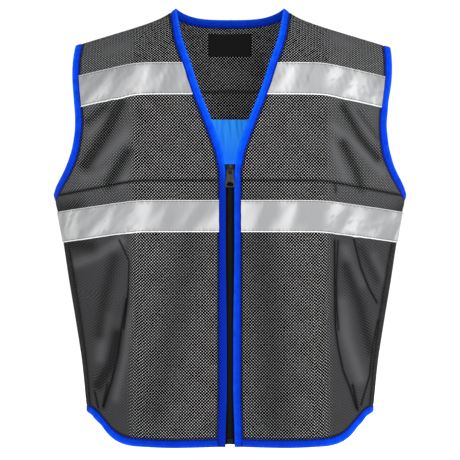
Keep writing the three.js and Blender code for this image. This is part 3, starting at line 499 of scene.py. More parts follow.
def wallPiece(name, grid, low, high, weights=None):
    # The grid lifted to two heights along its normals, with a rim round all four edges
    points, normals = grid["points"], grid["normals"]
    m, n = points.shape[:2]
    vertices = np.concatenate([(points + normals * height).reshape(-1, 3) for height in (high, low)])
    top = gridFaces(m, n)
    index = np.arange(m * n).reshape(m, n)
    edge = np.concatenate([index[:-1, 0], index[-1, :-1], index[:0:-1, -1], index[0, :0:-1]])
    following = np.roll(edge, -1)
    rim = np.stack([following, edge, edge + m * n, following + m * n], axis=-1)
    faces = np.concatenate([top, top[:, ::-1] + m * n, rim])
    a, b, c = (vertices[top[:, k]] for k in range(3))
    if (np.cross(b - a, c - a) * normals[:-1, :-1].reshape(-1, 3)).sum() < 0:
        faces = faces[:, ::-1]
    uv = np.tile(grid["flat"].reshape(-1, 2), (2, 1))
    doubled = {label: np.tile(values.ravel(), 2) for label, values in (weights or {}).items()}
    return newObject(name, vertices, faces, uv, doubled)


def alongLine(points, normals, spacing, closed=False):
    # A line of places made even: resampled at equal steps of its own length, then lightly smoothed
    if closed:
        points, normals = np.vstack([points, points[:1]]), np.vstack([normals, normals[:1]])
    steps = np.linalg.norm(np.diff(points, axis=0), axis=1)
    length = np.concatenate([[0], np.cumsum(steps)])
    count = int(round(length[-1] / spacing))
    at = np.linspace(0, length[-1], count + 1)
    if closed:
        at = at[:-1]
    even = np.stack([np.interp(at, length, points[:, k]) for k in range(3)], axis=-1)
    facing = np.stack([np.interp(at, length, normals[:, k]) for k in range(3)], axis=-1)
    for _ in range(3):
        if closed:
            facing = (np.roll(facing, 1, 0) + facing + np.roll(facing, -1, 0)) / 3
        else:
            facing[1:-1] = (facing[:-2] + facing[1:-1] + facing[2:]) / 3
    return even, facing / np.linalg.norm(facing, axis=1, keepdims=True), at


def stripPiece(name, points, normals, outward, ring, closed=False, shape=None, paintedShade=None,
               spacing=2.2, smoothing=8, sharp=60):
    # A ring of (out, up) corners carried along a line, out across its tangent and up its normal
    points, normals, at = alongLine(points, normals, spacing, closed)
    if closed:
        tangent = np.roll(points, -1, 0) - np.roll(points, 1, 0)
    else:
        tangent = np.gradient(points, axis=0)
    across = np.cross(tangent, normals)
    for _ in range(smoothing):
        if closed:
            across = (np.roll(across, 1, 0) + across + np.roll(across, -1, 0)) / 3
        else:
            across[1:-1] = (across[:-2] + across[1:-1] + across[2:]) / 3
    across *= outward / np.linalg.norm(across, axis=1, keepdims=True)
    out = np.broadcast_to(ring[:, 0], (len(points), len(ring))).copy()
    up = np.broadcast_to(ring[:, 1], out.shape).copy()
    if shape is not None:
        out, up = shape(at[:, None], out, up)
    sections = points[:, None] + across[:, None] * out[..., None] + normals[:, None] * up[..., None]
    m, n = sections.shape[:2]
    index = np.arange(m * n).reshape(m, n)
    nextRow = np.roll(index, -1, 0) if closed else index[1:]
    row = index if closed else index[:-1]
    quads = np.stack([row, nextRow, np.roll(nextRow, -1, 1), np.roll(row, -1, 1)], axis=-1).reshape(-1, 4)
    vertices = sections.reshape(-1, 3)
    uv = np.stack([np.broadcast_to(at[:, None], out.shape), np.broadcast_to(ring[:, 0], out.shape)], axis=-1)
    weights = {"paintedShade": np.repeat(paintedShade(points), n)} if paintedShade else None
    piece = newObject(name, vertices, quads, uv.reshape(-1, 2), weights, sharp)
    work = bmesh.new()
    work.from_mesh(piece.data)
    if not closed:
        bmesh.ops.holes_fill(work, edges=[e for e in work.edges if e.is_boundary])
    bmesh.ops.recalc_face_normals(work, faces=work.faces)
    work.to_mesh(piece.data)
    work.free()
    piece.data.set_sharp_from_angle(angle=math.radians(sharp))
    return piece


# Materials: colours are sRGB hex, and the helpers take their sizes in millimetres
def linear(hexColour):
    parts = [int(hexColour[k:k + 2], 16) / 255 for k in (0, 2, 4)]
    return tuple(p / 12.92 if p <= 0.04045 else ((p + 0.055) / 1.055) ** 2.4 for p in parts) + (1.0,)


def addNode(tree, kind, inputs=None, **settings):
    node = tree.nodes.new(kind)
    for key, value in settings.items():
        setattr(node, key, value)
    for key, value in (inputs or {}).items():
        if isinstance(value, bpy.types.NodeSocket):
            tree.links.new(value, node.inputs[key])
        else:
            node.inputs[key].default_value = value
    return node


def newMaterial(name, **surface):
    material = bpy.data.materials.new(name)
    material.use_nodes = True
    tree = material.node_tree
    shader = tree.nodes["Principled BSDF"]
    for key, value in surface.items():
        shader.inputs[key.replace("_", " ")].default_value = value
    return material, tree, shader


def latticeMask(tree, flat, pitch, low, high):
    # Sum of two cosines at right angles, turned 45 degrees: peaks are yarn crossings, pits are holes
    scale = 2 * math.pi * 1000 / pitch
    sums = []
    for lean in (1, -1):
        turned = addNode(tree, "ShaderNodeVectorMath", {0: flat, 1: (scale, lean * scale, 0)},
                         operation="DOT_PRODUCT").outputs["Value"]
        sums.append(addNode(tree, "ShaderNodeMath", {0: turned}, operation="COSINE").outputs[0])
    both = addNode(tree, "ShaderNodeMath", {0: sums[0], 1: sums[1]}, operation="ADD").outputs[0]
    mask = addNode(tree, "ShaderNodeMapRange", {"Value": both, "From Min": low, "From Max": high},
                   interpolation_type="SMOOTHSTEP")
    return mask.outputs["Result"]


def mixColours(tree, factor, first, second):
    # Mix node's colour sockets are numbers 6 and 7, and its colour output is number 2
    node = addNode(tree, "ShaderNodeMix", data_type="RGBA")
    for key, value in ((0, factor), (6, first), (7, second)):
        if isinstance(value, bpy.types.NodeSocket):
            tree.links.new(value, node.inputs[key])
        else:
            node.inputs[key].default_value = value
    return node.outputs[2]


def addBump(tree, shader, height, distance, strength):
    inputs = {"Height": height, "Distance": distance * 0.001, "Strength": strength}
    bump = addNode(tree, "ShaderNodeBump", inputs)
    tree.links.new(bump.outputs["Normal"], shader.inputs["Normal"])


def cloudFactor(tree, size, low, high, detail=2.0):
    # Soft clouds of a real size, mapped to a range of factors
    place = addNode(tree, "ShaderNodeTexCoord").outputs["Object"]
    noise = addNode(tree, "ShaderNodeTexNoise", {"Vector": place, "Scale": 1000 / size, "Detail": detail})
    spread = {"Value": noise.outputs["Fac"], "From Min": 0.3, "From Max": 0.7, "To Min": low, "To Max": high}
    return addNode(tree, "ShaderNodeMapRange", spread).outputs["Result"]


def stitchMask(tree, lines, pitch, width):
    # Dashes along the first flat axis, on lines at given places of the second
    flat = addNode(tree, "ShaderNodeUVMap", uv_map="flat").outputs["UV"]
    parts = addNode(tree, "ShaderNodeSeparateXYZ", {0: flat})
    share = addNode(tree, "ShaderNodeMath", {0: parts.outputs["X"], 1: 1000 / pitch}, operation="MULTIPLY")
    wave = addNode(tree, "ShaderNodeMath", {0: share.outputs[0], 1: 1.0, 2: 0.0}, operation="PINGPONG")
    dash = addNode(tree, "ShaderNodeMapRange", {"Value": wave.outputs[0], "From Min": 0.72, "From Max": 0.6},
                   interpolation_type="SMOOTHSTEP").outputs["Result"]
    total = None
    for line in lines:
        aside = addNode(tree, "ShaderNodeMath", {0: parts.outputs["Y"], 1: line * 0.001, 2: width * 0.0005},
                        operation="COMPARE")
        total = aside.outputs[0] if total is None else addNode(
            tree, "ShaderNodeMath", {0: total, 1: aside.outputs[0]}, operation="MAXIMUM").outputs[0]
    return addNode(tree, "ShaderNodeMath", {0: dash, 1: total}, operation="MULTIPLY").outputs[0]


def stretchedNoise(tree, flat, lean, across, along, low, high, distortion=0.6):
    # Noise in long slanting streaks: coordinates across and along the slant, each over its own size
    streaks = []
    for x, y, size in ((1, lean, across), (-lean, 1, along)):
        turned = addNode(tree, "ShaderNodeVectorMath", {0: flat, 1: (x * 1000 / size, y * 1000 / size, 0)},
                         operation="DOT_PRODUCT")
        streaks.append(turned.outputs["Value"])
    place = addNode(tree, "ShaderNodeCombineXYZ", {0: streaks[0], 1: streaks[1]}).outputs[0]
    noise = addNode(tree, "ShaderNodeTexNoise", {"Vector": place, "Scale": 1.0, "Detail": 1.5,
                                                 "Distortion": distortion}).outputs["Fac"]
    return addNode(tree, "ShaderNodeMapRange", {"Value": noise, "From Min": low, "From Max": high},
                   interpolation_type="SMOOTHSTEP").outputs["Result"]


# Black polyester spacer knit: matt, with staggered round holes between crossing yarns, whose gloss is a
# painted
# highlight: the crossings are painted pale. The holes lie 4.85 mm apart, and at the sides the face closes up
# to a dark, even knit.
knit = {"pitch": 4.85, "hole": "010101", "yarnGloss": "f3f6f7", "close": "3b3b3d", "closeDark": "303031",
        "shadeColour": "040404", "sheen": "626264", "yarnFrom": 1.28, "yarnTo": 1.88, "fineFrom": -1.0,
        "fineTo": 1.7, "cloud": 30, "cloudShade": 0.45, "bumpHeight": 0.3, "bump": 0.3}
spacerKnit, tree, shader = newMaterial("polyester spacer knit", Roughness=0.9)
shader.inputs["Specular IOR Level"].default_value = 0.06
flat = addNode(tree, "ShaderNodeUVMap", uv_map="flat").outputs["UV"]
crossings = latticeMask(tree, flat, knit["pitch"], knit["yarnFrom"], knit["yarnTo"])
fine = latticeMask(tree, flat, knit["pitch"], knit["fineFrom"], knit["fineTo"])
openness = addNode(tree, "ShaderNodeAttribute", attribute_name="openKnit").outputs["Fac"]
openColour = mixColours(tree, crossings, linear(knit["hole"]), linear(knit["yarnGloss"]))
closeColour = mixColours(tree, fine, linear(knit["closeDark"]), linear(knit["close"]))
# Painted shade: soft clouds darken the closed knit, standing in for shade in its soft folds
clouds = cloudFactor(tree, knit["cloud"], 0.0, knit["cloudShade"])
closeColour = mixColours(tree, clouds, closeColour, linear(knit["closeDark"]))
knitColour = mixColours(tree, openness, closeColour, openColour)
# Painted sheen: a per-point attribute greys the knit where ridges and the upper sides would catch the light
paintedSheen = addNode(tree, "ShaderNodeAttribute", attribute_name="paintedSheen").outputs["Fac"]
knitColour = mixColours(tree, paintedSheen, knitColour, linear(knit["sheen"]))
# Painted shade: a per-point attribute darkens the knit in creases, valleys, seams, beside the edges and on the
# back's side strips
depthAndShade = addNode(tree, "ShaderNodeAttribute", attribute_name="depthAndShade").outputs["Fac"]
knitColour = mixColours(tree, depthAndShade, knitColour, linear(knit["shadeColour"]))
tree.links.new(knitColour, shader.inputs["Base Color"])
raised = addNode(tree, "ShaderNodeMath", {0: crossings, 1: openness}, operation="MULTIPLY").outputs[0]
addBump(tree, shader, raised, knit["bumpHeight"], knit["bump"])

# Royal blue polyester edging: plain-woven ribbon folded over the edge, painted darker on its inner side and
# brighter towards its outer fold as painted shade and highlight, with a lockstitch near its inner side and
# soft clouds of painted shade
edging = {"inner": "002aa8", "middle": "0040dc", "outer": "005cff", "dark": "001e8e", "thread": "000f48",
          "stitchPitch": 3.2, "stitchLine": 1.6, "stitchWidth": 1.0, "weave": 1.1,
          "cloud": 11, "cloudShade": 0.5}
wovenEdging, tree, shader = newMaterial("woven polyester edging", Roughness=0.7)
shader.inputs["Specular IOR Level"].default_value = 0.04
flat = addNode(tree, "ShaderNodeUVMap", uv_map="flat").outputs["UV"]
aside = addNode(tree, "ShaderNodeSeparateXYZ", {0: flat}).outputs["Y"]
# Painted shade and highlight across the width: darker inside, brighter towards the outer fold
shade = linear(edging["inner"])
for tone, low, high in (("middle", 1.0, 4.5), ("outer", 6.5, 11.5)):
    band = {"Value": aside, "From Min": low * 0.001, "From Max": high * 0.001}
    share = addNode(tree, "ShaderNodeMapRange", band, interpolation_type="SMOOTHSTEP").outputs["Result"]
    shade = mixColours(tree, share, shade, linear(edging[tone]))
# Painted shade: soft clouds darken the edging here and there
clouds = cloudFactor(tree, edging["cloud"], 0, edging["cloudShade"])
shade = mixColours(tree, clouds, shade, linear(edging["dark"]))
# Painted shade from each piece: duller behind the neck, down the zip, down the armholes and along the middle
# of the hem
paintedShade = addNode(tree, "ShaderNodeAttribute", attribute_name="paintedShade").outputs["Fac"]
shade = mixColours(tree, paintedShade, shade, linear(edging["dark"]))
thread = stitchMask(tree, [edging["stitchLine"]], edging["stitchPitch"], edging["stitchWidth"])
tree.links.new(mixColours(tree, thread, shade, linear(edging["thread"])), shader.inputs["Base Color"])
weave = latticeMask(tree, flat, edging["weave"], -1.6, 1.6)
addBump(tree, shader, weave, 0.08, 0.5)

# Silver reflective tape: glass beads on cloth, satin, with painted shade for slanting soft folds, for crumples
# beyond the knee and for small puckers along both stitch rows, a white bound lower edge and a thinner one on
# top
tape = {"silver": "b4b4b5", "worn": "868788", "edge": "dededf", "topEdge": "c4c4c5", "thread": "5c5d60",
        "stitchPitch": 3.0, "stitchInset": 2.8, "edgeWidth": 1.6, "beadSize": 0.9, "foldLean": 0.55,
        "foldAcross": 46, "foldAlong": 130, "puckerAcross": 8, "puckerReach": 10, "puckerShade": 0.75,
        "crumpleAcross": 17, "crumpleAlong": 42, "crumpleLean": 1.1, "crumpleShade": 0.6,
        "crumpleFrom": -14, "crumpleTo": 10, "stitchRise": 0.6, "stitchWidth": 1.0}
reflectiveTape, tree, shader = newMaterial("glass-bead reflective tape", Roughness=0.46, Metallic=0.12)
flat = addNode(tree, "ShaderNodeUVMap", uv_map="flat").outputs["UV"]
down = addNode(tree, "ShaderNodeSeparateXYZ", {0: flat}).outputs["Y"]
folds = stretchedNoise(tree, flat, tape["foldLean"], tape["foldAcross"], tape["foldAlong"], 0.34, 0.66, 0.3)
puckers = stretchedNoise(tree, flat, -0.2, tape["puckerAcross"], tape["foldAlong"], 0.42, 0.62)
half = body["tapeWidth"] * 0.0005
fromMiddle = addNode(tree, "ShaderNodeMath", {0: down, 1: half}, operation="SUBTRACT").outputs[0]
fromMiddle = addNode(tree, "ShaderNodeMath", {0: fromMiddle}, operation="ABSOLUTE").outputs[0]
nearRows = addNode(tree, "ShaderNodeMapRange", {
    "Value": fromMiddle, "From Min": half - tape["puckerReach"] * 0.001, "From Max": half,
    "To Max": tape["puckerShade"]}, interpolation_type="SMOOTHSTEP").outputs["Result"]
puckers = addNode(tree, "ShaderNodeMath", {0: puckers, 1: nearRows}, operation="MULTIPLY").outputs[0]
place = addNode(tree, "ShaderNodeTexCoord").outputs["Object"]
across = addNode(tree, "ShaderNodeSeparateXYZ", {0: place}).outputs["X"]
across = addNode(tree, "ShaderNodeMath", {0: across}, operation="ABSOLUTE").outputs[0]
low, high = ((body["kneeHalf"] + tape[key]) * 0.001 for key in ("crumpleFrom", "crumpleTo"))
beyondKnee = addNode(tree, "ShaderNodeMapRange", {
    "Value": across, "From Min": low, "From Max": high, "To Max": tape["crumpleShade"]},
    interpolation_type="SMOOTHSTEP").outputs["Result"]
crumples = stretchedNoise(tree, flat, tape["crumpleLean"], tape["crumpleAcross"], tape["crumpleAlong"],
                          0.46, 0.64, 0.35)
crumples = addNode(tree, "ShaderNodeMath", {0: crumples, 1: beyondKnee}, operation="MULTIPLY").outputs[0]
# Painted shade: folds, crumples and puckers mix the silver towards a darker grey
silver = mixColours(tree, folds, linear(tape["silver"]), linear(tape["worn"]))
silver = mixColours(tree, crumples, silver, linear(tape["worn"]))
silver = mixColours(tree, puckers, silver, linear(tape["worn"]))
width, rimWidth = body["tapeWidth"], tape["edgeWidth"]
for label, low, high in (("topEdge", rimWidth * 0.6, rimWidth * 0.3),
                         ("edge", width - rimWidth, width - rimWidth * 0.7)):
    band = {"Value": down, "From Min": low * 0.001, "From Max": high * 0.001}
    rim = addNode(tree, "ShaderNodeMapRange", band).outputs["Result"]
    silver = mixColours(tree, rim, silver, linear(tape[label]))
stitchRows = [tape["stitchInset"] - tape["stitchRise"], width - tape["stitchInset"]]
thread = stitchMask(tree, stitchRows, tape["stitchPitch"], tape["stitchWidth"])
tree.links.new(mixColours(tree, thread, silver, linear(tape["thread"])), shader.inputs["Base Color"])
addBump(tree, shader, latticeMask(tree, flat, tape["beadSize"], -1.8, 1.8), 0.05, 0.4)

# Azure polyester taffeta: thin, smooth and slightly silky, with painted shade in gathers that fade out down
# the panel, and painted shade over the panel below them
lining = {"azure": "30a4ff", "shade": "0072f6", "thread": 0.8, "gather": 8, "gatherLong": 90, "top": -172,
          "fadeTo": -235}
taffeta, tree, shader = newMaterial("polyester taffeta", Roughness=0.45)
shader.inputs["Specular IOR Level"].default_value = 0.25
shader.inputs["Sheen Weight"].default_value = 0.06
shader.inputs["Sheen Roughness"].default_value = 0.4
flat = addNode(tree, "ShaderNodeUVMap", uv_map="flat").outputs["UV"]
gathers = stretchedNoise(tree, flat, 0.05, lining["gather"], lining["gatherLong"], 0.3, 0.7, 0.0)
place = addNode(tree, "ShaderNodeTexCoord").outputs["Object"]
height = addNode(tree, "ShaderNodeSeparateXYZ", {0: place}).outputs["Z"]
fading = addNode(tree, "ShaderNodeMapRange", {
    "Value": height, "From Min": lining["fadeTo"] * 0.001, "From Max": lining["top"] * 0.001,
    "To Min": 1.0, "To Max": 0.0}).outputs["Result"]
# Painted shade: the darker blue fills the gathers' hollows, and all of the panel further down
share = addNode(tree, "ShaderNodeMath", {0: gathers, 1: fading}, operation="MAXIMUM").outputs[0]
silk = mixColours(tree, share, linear(lining["azure"]), linear(lining["shade"]))
tree.links.new(silk, shader.inputs["Base Color"])
addBump(tree, shader, latticeMask(tree, flat, lining["thread"], -1.8, 1.8), 0.04, 0.4)

# Black woven label: satin-woven polyester with heat-cut edges
satin = {"warp": "080808", "weft": "11110f", "weave": 1.2}
satinLabel, tree, shader = newMaterial("woven satin label", Roughness=0.7)
shader.inputs["Specular IOR Level"].default_value = 0.1
flat = addNode(tree, "ShaderNodeUVMap", uv_map="flat").outputs["UV"]
weave = latticeMask(tree, flat, satin["weave"], -1.6, 1.6)
thread = mixColours(tree, weave, linear(satin["warp"]), linear(satin["weft"]))
tree.links.new(thread, shader.inputs["Base Color"])
addBump(tree, shader, weave, 0.06, 0.4)

# Black polyester twill of the zip's tapes
twill = {"groove": "030303", "rib": "080808", "ribPitch": 1.4}
zipTwill, tree, shader = newMaterial("polyester zip tape", Roughness=0.9)
shader.inputs["Specular IOR Level"].default_value = 0.08
flat = addNode(tree, "ShaderNodeUVMap", uv_map="flat").outputs["UV"]
ribs = latticeMask(tree, flat, twill["ribPitch"], -1.4, 1.4)
cloth = mixColours(tree, ribs, linear(twill["groove"]), linear(twill["rib"]))
tree.links.new(cloth, shader.inputs["Base Color"])
addBump(tree, shader, ribs, 0.1, 0.5)

# Moulded acetal teeth: black plastic, half gloss, faintly mottled by the mould
moulding = {"dark": "050505", "light": "0b0b0c", "mottle": 3}
acetal, tree, shader = newMaterial("moulded acetal", Roughness=0.5)
shader.inputs["Specular IOR Level"].default_value = 0.12
mottled = cloudFactor(tree, moulding["mottle"], 0, 1)
plastic = mixColours(tree, mottled, linear(moulding["dark"]), linear(moulding["light"]))
tree.links.new(plastic, shader.inputs["Base Color"])

# Painted zinc die castings: a thin black coat on the slider, and a grey one, rubbed brighter, on the puller
fittings = {"black": ("060606", "161615"), "grey": ("232321", "3c3b37"), "patch": 4, "grain": 0.6}


def paintedZinc(name, plain, rubbed):
    material, tree, shader = newMaterial(name, Roughness=0.36, Metallic=0.55)
    worn = cloudFactor(tree, fittings["patch"], 0, 1, 4.0)
    tree.links.new(mixColours(tree, worn, linear(plain), linear(rubbed)), shader.inputs["Base Color"])
    addBump(tree, shader, cloudFactor(tree, fittings["grain"], 0, 1), 0.05, 0.3)
    return material


blackZinc = paintedZinc("black painted zinc", *fittings["black"])
greyZinc = paintedZinc("grey painted zinc", *fittings["grey"])
print("materials ready")


def finishPiece(piece, material, nodes, rider="vest"):
    piece.data.materials.clear()
    piece.data.materials.append(material)
    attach(piece, rider)
    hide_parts(*nodes)
    return piece


def smoothStep(value, low, high):
    t = np.clip((value - low) / (high - low), 0, 1)
    return t * t * (3 - 2 * t)


# Mesh panels: the knit looks open across the middle and closed beyond the knee at each side, more so
# below the seam. Beside every edge lies a line of painted shade, where the panel turns in under its edging;
# creases, valleys and seams get painted shade too, and ridges a painted sheen.
panels = {
    "openTo": 146, "closedFrom": 164, "shoulderOpen": 0.8, "upperOpen": 0.45, "lowerOpen": 0.035,
    "valleyOpen": 0.55, "lowerValleyOpen": 0.14, "ridgeClose": 0.8, "stripOpen": 0.85, "fullRelief": 2,
    "creaseShade": 0.95, "creasePower": 1.4, "valleyShade": 0.7, "seamShade": 0.97, "edgeShade": 0.85,
    "stripShade": 0.7, "ridgeSheen": 0.36, "upperSheen": 0.16, "edgeInset": 1.5, "edgeReach": 1.4,
    "seamReach": 2.4, "sideSeamReach": 5.5, "stripFrom": -45, "stripTo": 6, "cutGap": 0.00002,
    "frontSpan": 255, "backSpan": 262,
}


def knitWeights(face, grid):
    # Three looks at each point: how open the knit is, how dark painted shade makes it, and how far a painted
    # sheen greys it where it would catch the light
    p, b = panels, body
    points, flat = grid["points"], grid["flat"]
    x, y, z = points[..., 0], points[..., 1], points[..., 2]
    sign = np.where(y < 0, -1, 1)
    valley = np.clip(reliefOf(sign, x, z, True) / p["fullRelief"], 0, 1)
    ridge = np.clip(reliefOf(sign, x, z, False) / p["fullRelief"], 0, 1)
    middle = 1 - smoothStep(np.abs(x), p["openTo"], p["closedFrom"])
    side = np.interp(-z, [b["chestTapeDrop"], b["chestTapeDrop"] + b["tapeWidth"] * 1.5, b["frontSeamDrop"],
                          b["waistTapeDrop"] + b["tapeWidth"]],
                     [p["shoulderOpen"], p["upperOpen"], p["upperOpen"], p["lowerOpen"]])
    opened = side + (1 - side) * middle
    upper = smoothStep(z, -b["waistTapeDrop"] - b["tapeWidth"], -b["frontSeamDrop"])
    # Painted light: the knit's pattern shows more in the valleys' painted shade and less under the ridges'
    # painted sheen
    valleyOpen = p["lowerValleyOpen"] + (p["valleyOpen"] - p["lowerValleyOpen"]) * upper
    opened = np.clip(opened + valleyOpen * valley * (1 - middle), 0, 1)
    opened = opened * (1 - p["ridgeClose"] * ridge * (1 - middle))
    depthAndShade = creaseDepth(sign, x, z, bulging=False) ** p["creasePower"] * p["creaseShade"]
    drop, slope = (b["frontSeamDrop"], b["seamSlope"]) if face == "front" else (
        b["backTapeDrop"] + b["tapeWidth"], b["chestSlope"])
    seam = p["seamShade"] * np.exp(-((levelLine(x, drop, slope) - z) / p["seamReach"]) ** 2)
    fromEnds = np.minimum(np.abs(flat[..., 0] - flat[:, :1, 0]), np.abs(flat[:, -1:, 0] - flat[..., 0]))
    fromEdges = np.minimum(fromEnds, z - hemHeight(x))
    if face == "front":
        turnedIn = np.abs(flat[:, -1:, 0] - flat[..., 0]) / p["sideSeamReach"]
        seam = np.maximum(seam, p["edgeShade"] * np.exp(-turnedIn ** 2) * (-z > b["underarmSideDrop"]))
    if face == "back":
        fromEdges = np.minimum(fromEdges, np.where(np.abs(x) < b["neckHalf"], backTopHeight(x) - z, np.inf))
        strip = smoothStep(-y, p["stripFrom"], p["stripTo"])
        opened = opened + (p["stripOpen"] - opened) * strip
        depthAndShade = np.maximum(depthAndShade, p["stripShade"] * strip)
    beside = p["edgeShade"] * np.exp(-(np.maximum(fromEdges - p["edgeInset"], 0) / p["edgeReach"]) ** 2)
    depthAndShade = np.maximum.reduce([depthAndShade, seam, beside, p["valleyShade"] * valley])
    paintedSheen = (p["ridgeSheen"] * ridge + p["upperSheen"] * upper) * (1 - middle) * (1 - depthAndShade)
    return {"openKnit": opened, "depthAndShade": depthAndShade, "paintedSheen": paintedSheen}


def frontGrid(rows, side, start=None, end=None, count=None):
    inner = turnAt("front", rows, crossing("front", rows, frontEdgeAt)) if start is None else start
    outer = outerTurn("front", rows, side) if end is None else end
    shares = sharesOf(panels["frontSpan"]) if count is None else np.linspace(0, 1, count)
    turns = spreadTurns("front", rows, inner, outer, shares)
    return clothGrid("front", side * turns, rows)


def backGrid(rows):
    middle = np.full(len(rows), 180.0)
    shares = sharesOf(panels["backSpan"], fineness["back"])
    halves = [spreadTurns("back", rows, middle, outerTurn("back", rows, side), shares) for side in (1, -1)]
    turns = np.concatenate([halves[0][:, ::-1], -halves[1][:, 1:]], axis=1)
    turns = np.where(turns <= -179.999, -180, turns)
    turns[:, halves[0].shape[1]:] += 360
    return clothGrid("back", turns, rows)


fronts = {"left": 1, "right": -1}
seamRow, cutRow, hemRow = rowOf["seam"], rowOf["chestFoot"], rowOf["hem"]
frontRows = {"upper": rowsBetween(0, seamRow - panels["cutGap"]),
             "lower": rowsBetween(seamRow + panels["cutGap"], hemRow)}
wall = body["meshHalfWall"]
for name, side in fronts.items():
    for part, rows in frontRows.items():
        grid = frontGrid(rows, side)
        piece = wallPiece(f"{part}_front_{name}", grid, -wall, wall, knitWeights("front", grid))
        finishPiece(piece, spacerKnit, [f"front_{part}_{name}"])
backRows = {"yoke": rowsBetween(0, cutRow - panels["cutGap"], fineness["back"]),
            "body": rowsBetween(cutRow + panels["cutGap"], hemRow, fineness["back"])}
for part, rows in backRows.items():
    grid = backGrid(rows)
    piece = wallPiece(f"{part}_back", grid, -wall, wall, knitWeights("back", grid))
    finishPiece(piece, spacerKnit, [f"back_{part}"])
print("mesh panels made")

# Reflective tapes: sewn flat on the outside, from edging to side seam, and carried round the back
tapeFit = {"wall": 1.0, "chest": (rowOf["chestTop"], rowOf["chestFoot"]),
           "waist": (rowOf["waistTop"], rowOf["waistFoot"]),
           "under": {"chest": ("upper_front", "yoke_back"), "waist": ("lower_front", "body_back")}}
tapeLow = wall + body["gap"]


def tapePiece(name, grid, node):
    rows = grid["points"].shape[0]
    down = np.linspace(0, body["tapeWidth"], rows)[:, None]
    grid["flat"] = np.stack([grid["flat"][..., 0], np.broadcast_to(down, grid["flat"].shape[:2])], axis=-1)
    piece = wallPiece(name, grid, tapeLow, tapeLow + tapeFit["wall"])
    finishPiece(piece, reflectiveTape, [node])


for height in ("chest", "waist"):
    rows = rowsBetween(*tapeFit[height])
    for name, side in fronts.items():
        tapePiece(f"{height}_band_{name}", frontGrid(rows, side), f"{height}_tape_{name}")
    tapePiece(f"{height}_band_back", backGrid(rows), f"{height}_tape_back")
print("tapes made")

# Lining: hung inside the back, gathered along its top edge into soft upright puckers
liningFit = {"topDrop": 175, "endRow": 7.5, "halfWidth": 164, "wall": 1.2, "step": 2.4, "gap": 0.8,
             "gather": 1.5, "gatherLength": 13.5, "beatLength": 61, "fineLength": 5.1, "fade": 46}
tapeFoot = body["backTapeDrop"] + body["tapeWidth"]
topRow = rowOf["chestFoot"] + (liningFit["topDrop"] - tapeFoot) / (body["frontNeckDrop"] - tapeFoot)
rows = rowsBetween(topRow, liningFit["endRow"])
halves = 180 - turnAt("back", rows, np.full(len(rows), float(liningFit["halfWidth"])))
shares = np.linspace(1, 0, int(liningFit["halfWidth"] / liningFit["step"]))
left = halves[:, None] * shares + 180 * (1 - shares)
grid = clothGrid("back", np.concatenate([left, 360 - left[:, -2::-1]], axis=1), rows)
x, z = grid["points"][..., 0], grid["points"][..., 2]
fade = np.exp(-((-liningFit["topDrop"] - z) / liningFit["fade"]) ** 2)
beat = np.cos(2 * np.pi * x / liningFit["beatLength"])
waves = np.sin(2 * np.pi * x / liningFit["gatherLength"] + 0.8) * beat
waves = waves + 0.5 * np.sin(x / liningFit["fineLength"])
inward = liningFit["gather"] * (0.5 + 0.35 * waves) * fade + liningFit["gap"]
grid["points"] = grid["points"] - grid["normals"] * inward[..., None]
piece = wallPiece("lining_panel", grid, -tapeLow - liningFit["wall"], -tapeLow)
finishPiece(piece, taffeta, ["back_lining"])

# Label: plain, sewn inside the back of the neck
labelFit = {"drop": 37.3, "height": 34.5, "halfWidth": 35.5, "wall": 1.0, "rows": 24, "columns": 44}


def rowForDrop(drop):
    return math.sqrt((drop - body["backNeckDrop"]) / (body["backTapeDrop"] - body["backNeckDrop"]))


ends = [rowForDrop(drop) for drop in (labelFit["drop"], labelFit["drop"] + labelFit["height"])]
rows = np.linspace(*ends, labelFit["rows"])
edges = 180 - turnAt("back", rows, np.full(len(rows), labelFit["halfWidth"]))
shares = np.linspace(0, 1, labelFit["columns"])
grid = clothGrid("back", edges[:, None] + (360 - 2 * edges[:, None]) * shares, rows)
piece = wallPiece("neck_tab", grid, -tapeLow - labelFit["wall"], -tapeLow)
finishPiece(piece, satinLabel, ["neck_label"])
print("lining and label made")

# Edgings: a flattened ring in section, grooved by its stitch line and gently puckered along its length
edge = {
    "width": 12.5, "wrap": 1.4, "halfWall": 1.5, "corners": 22, "outPower": 0.6, "upPower": 0.8,
    "groove": 0.45, "grooveReach": 0.9, "pucker": 0.16, "puckerLength": 8.5, "longLength": 13.7,
    "puckerAt": 3.5, "lean": 0.12, "drawnIn": 0.3, "drawnReach": 4.5,
    "zipNarrowing": 0.15, "narrowFrom": (150, 330), "narrowTo": (425, 475),
    "neckPlaces": 90, "hemPlaces": 110, "hemBackPlaces": 320,
}
# How far painted shade dulls the edging, nought to one, and over which millimetres the shade comes in
edgeShades = {
    "neck": 0.6, "neckBand": (0, 30), "zipRight": 0.95, "zipLeft": 0.5, "zipBand": 40,
    "arm": 0.4, "armBand": (90, 220), "hem": 0.6, "hemBand": (110, 190),
}


def edgingRing():
    # Superellipse: corners squared by low powers of the cosine and sine
    t = np.linspace(0, 2 * np.pi, edge["corners"], endpoint=False)
    middle, reach = (edge["width"] - edge["wrap"]) / 2, (edge["width"] + edge["wrap"]) / 2
    out = middle + reach * np.sign(np.cos(t)) * np.abs(np.cos(t)) ** edge["outPower"]
    up = edge["halfWall"] * np.sign(np.sin(t)) * np.abs(np.sin(t)) ** edge["upPower"]
    return np.stack([out, up], axis=-1)


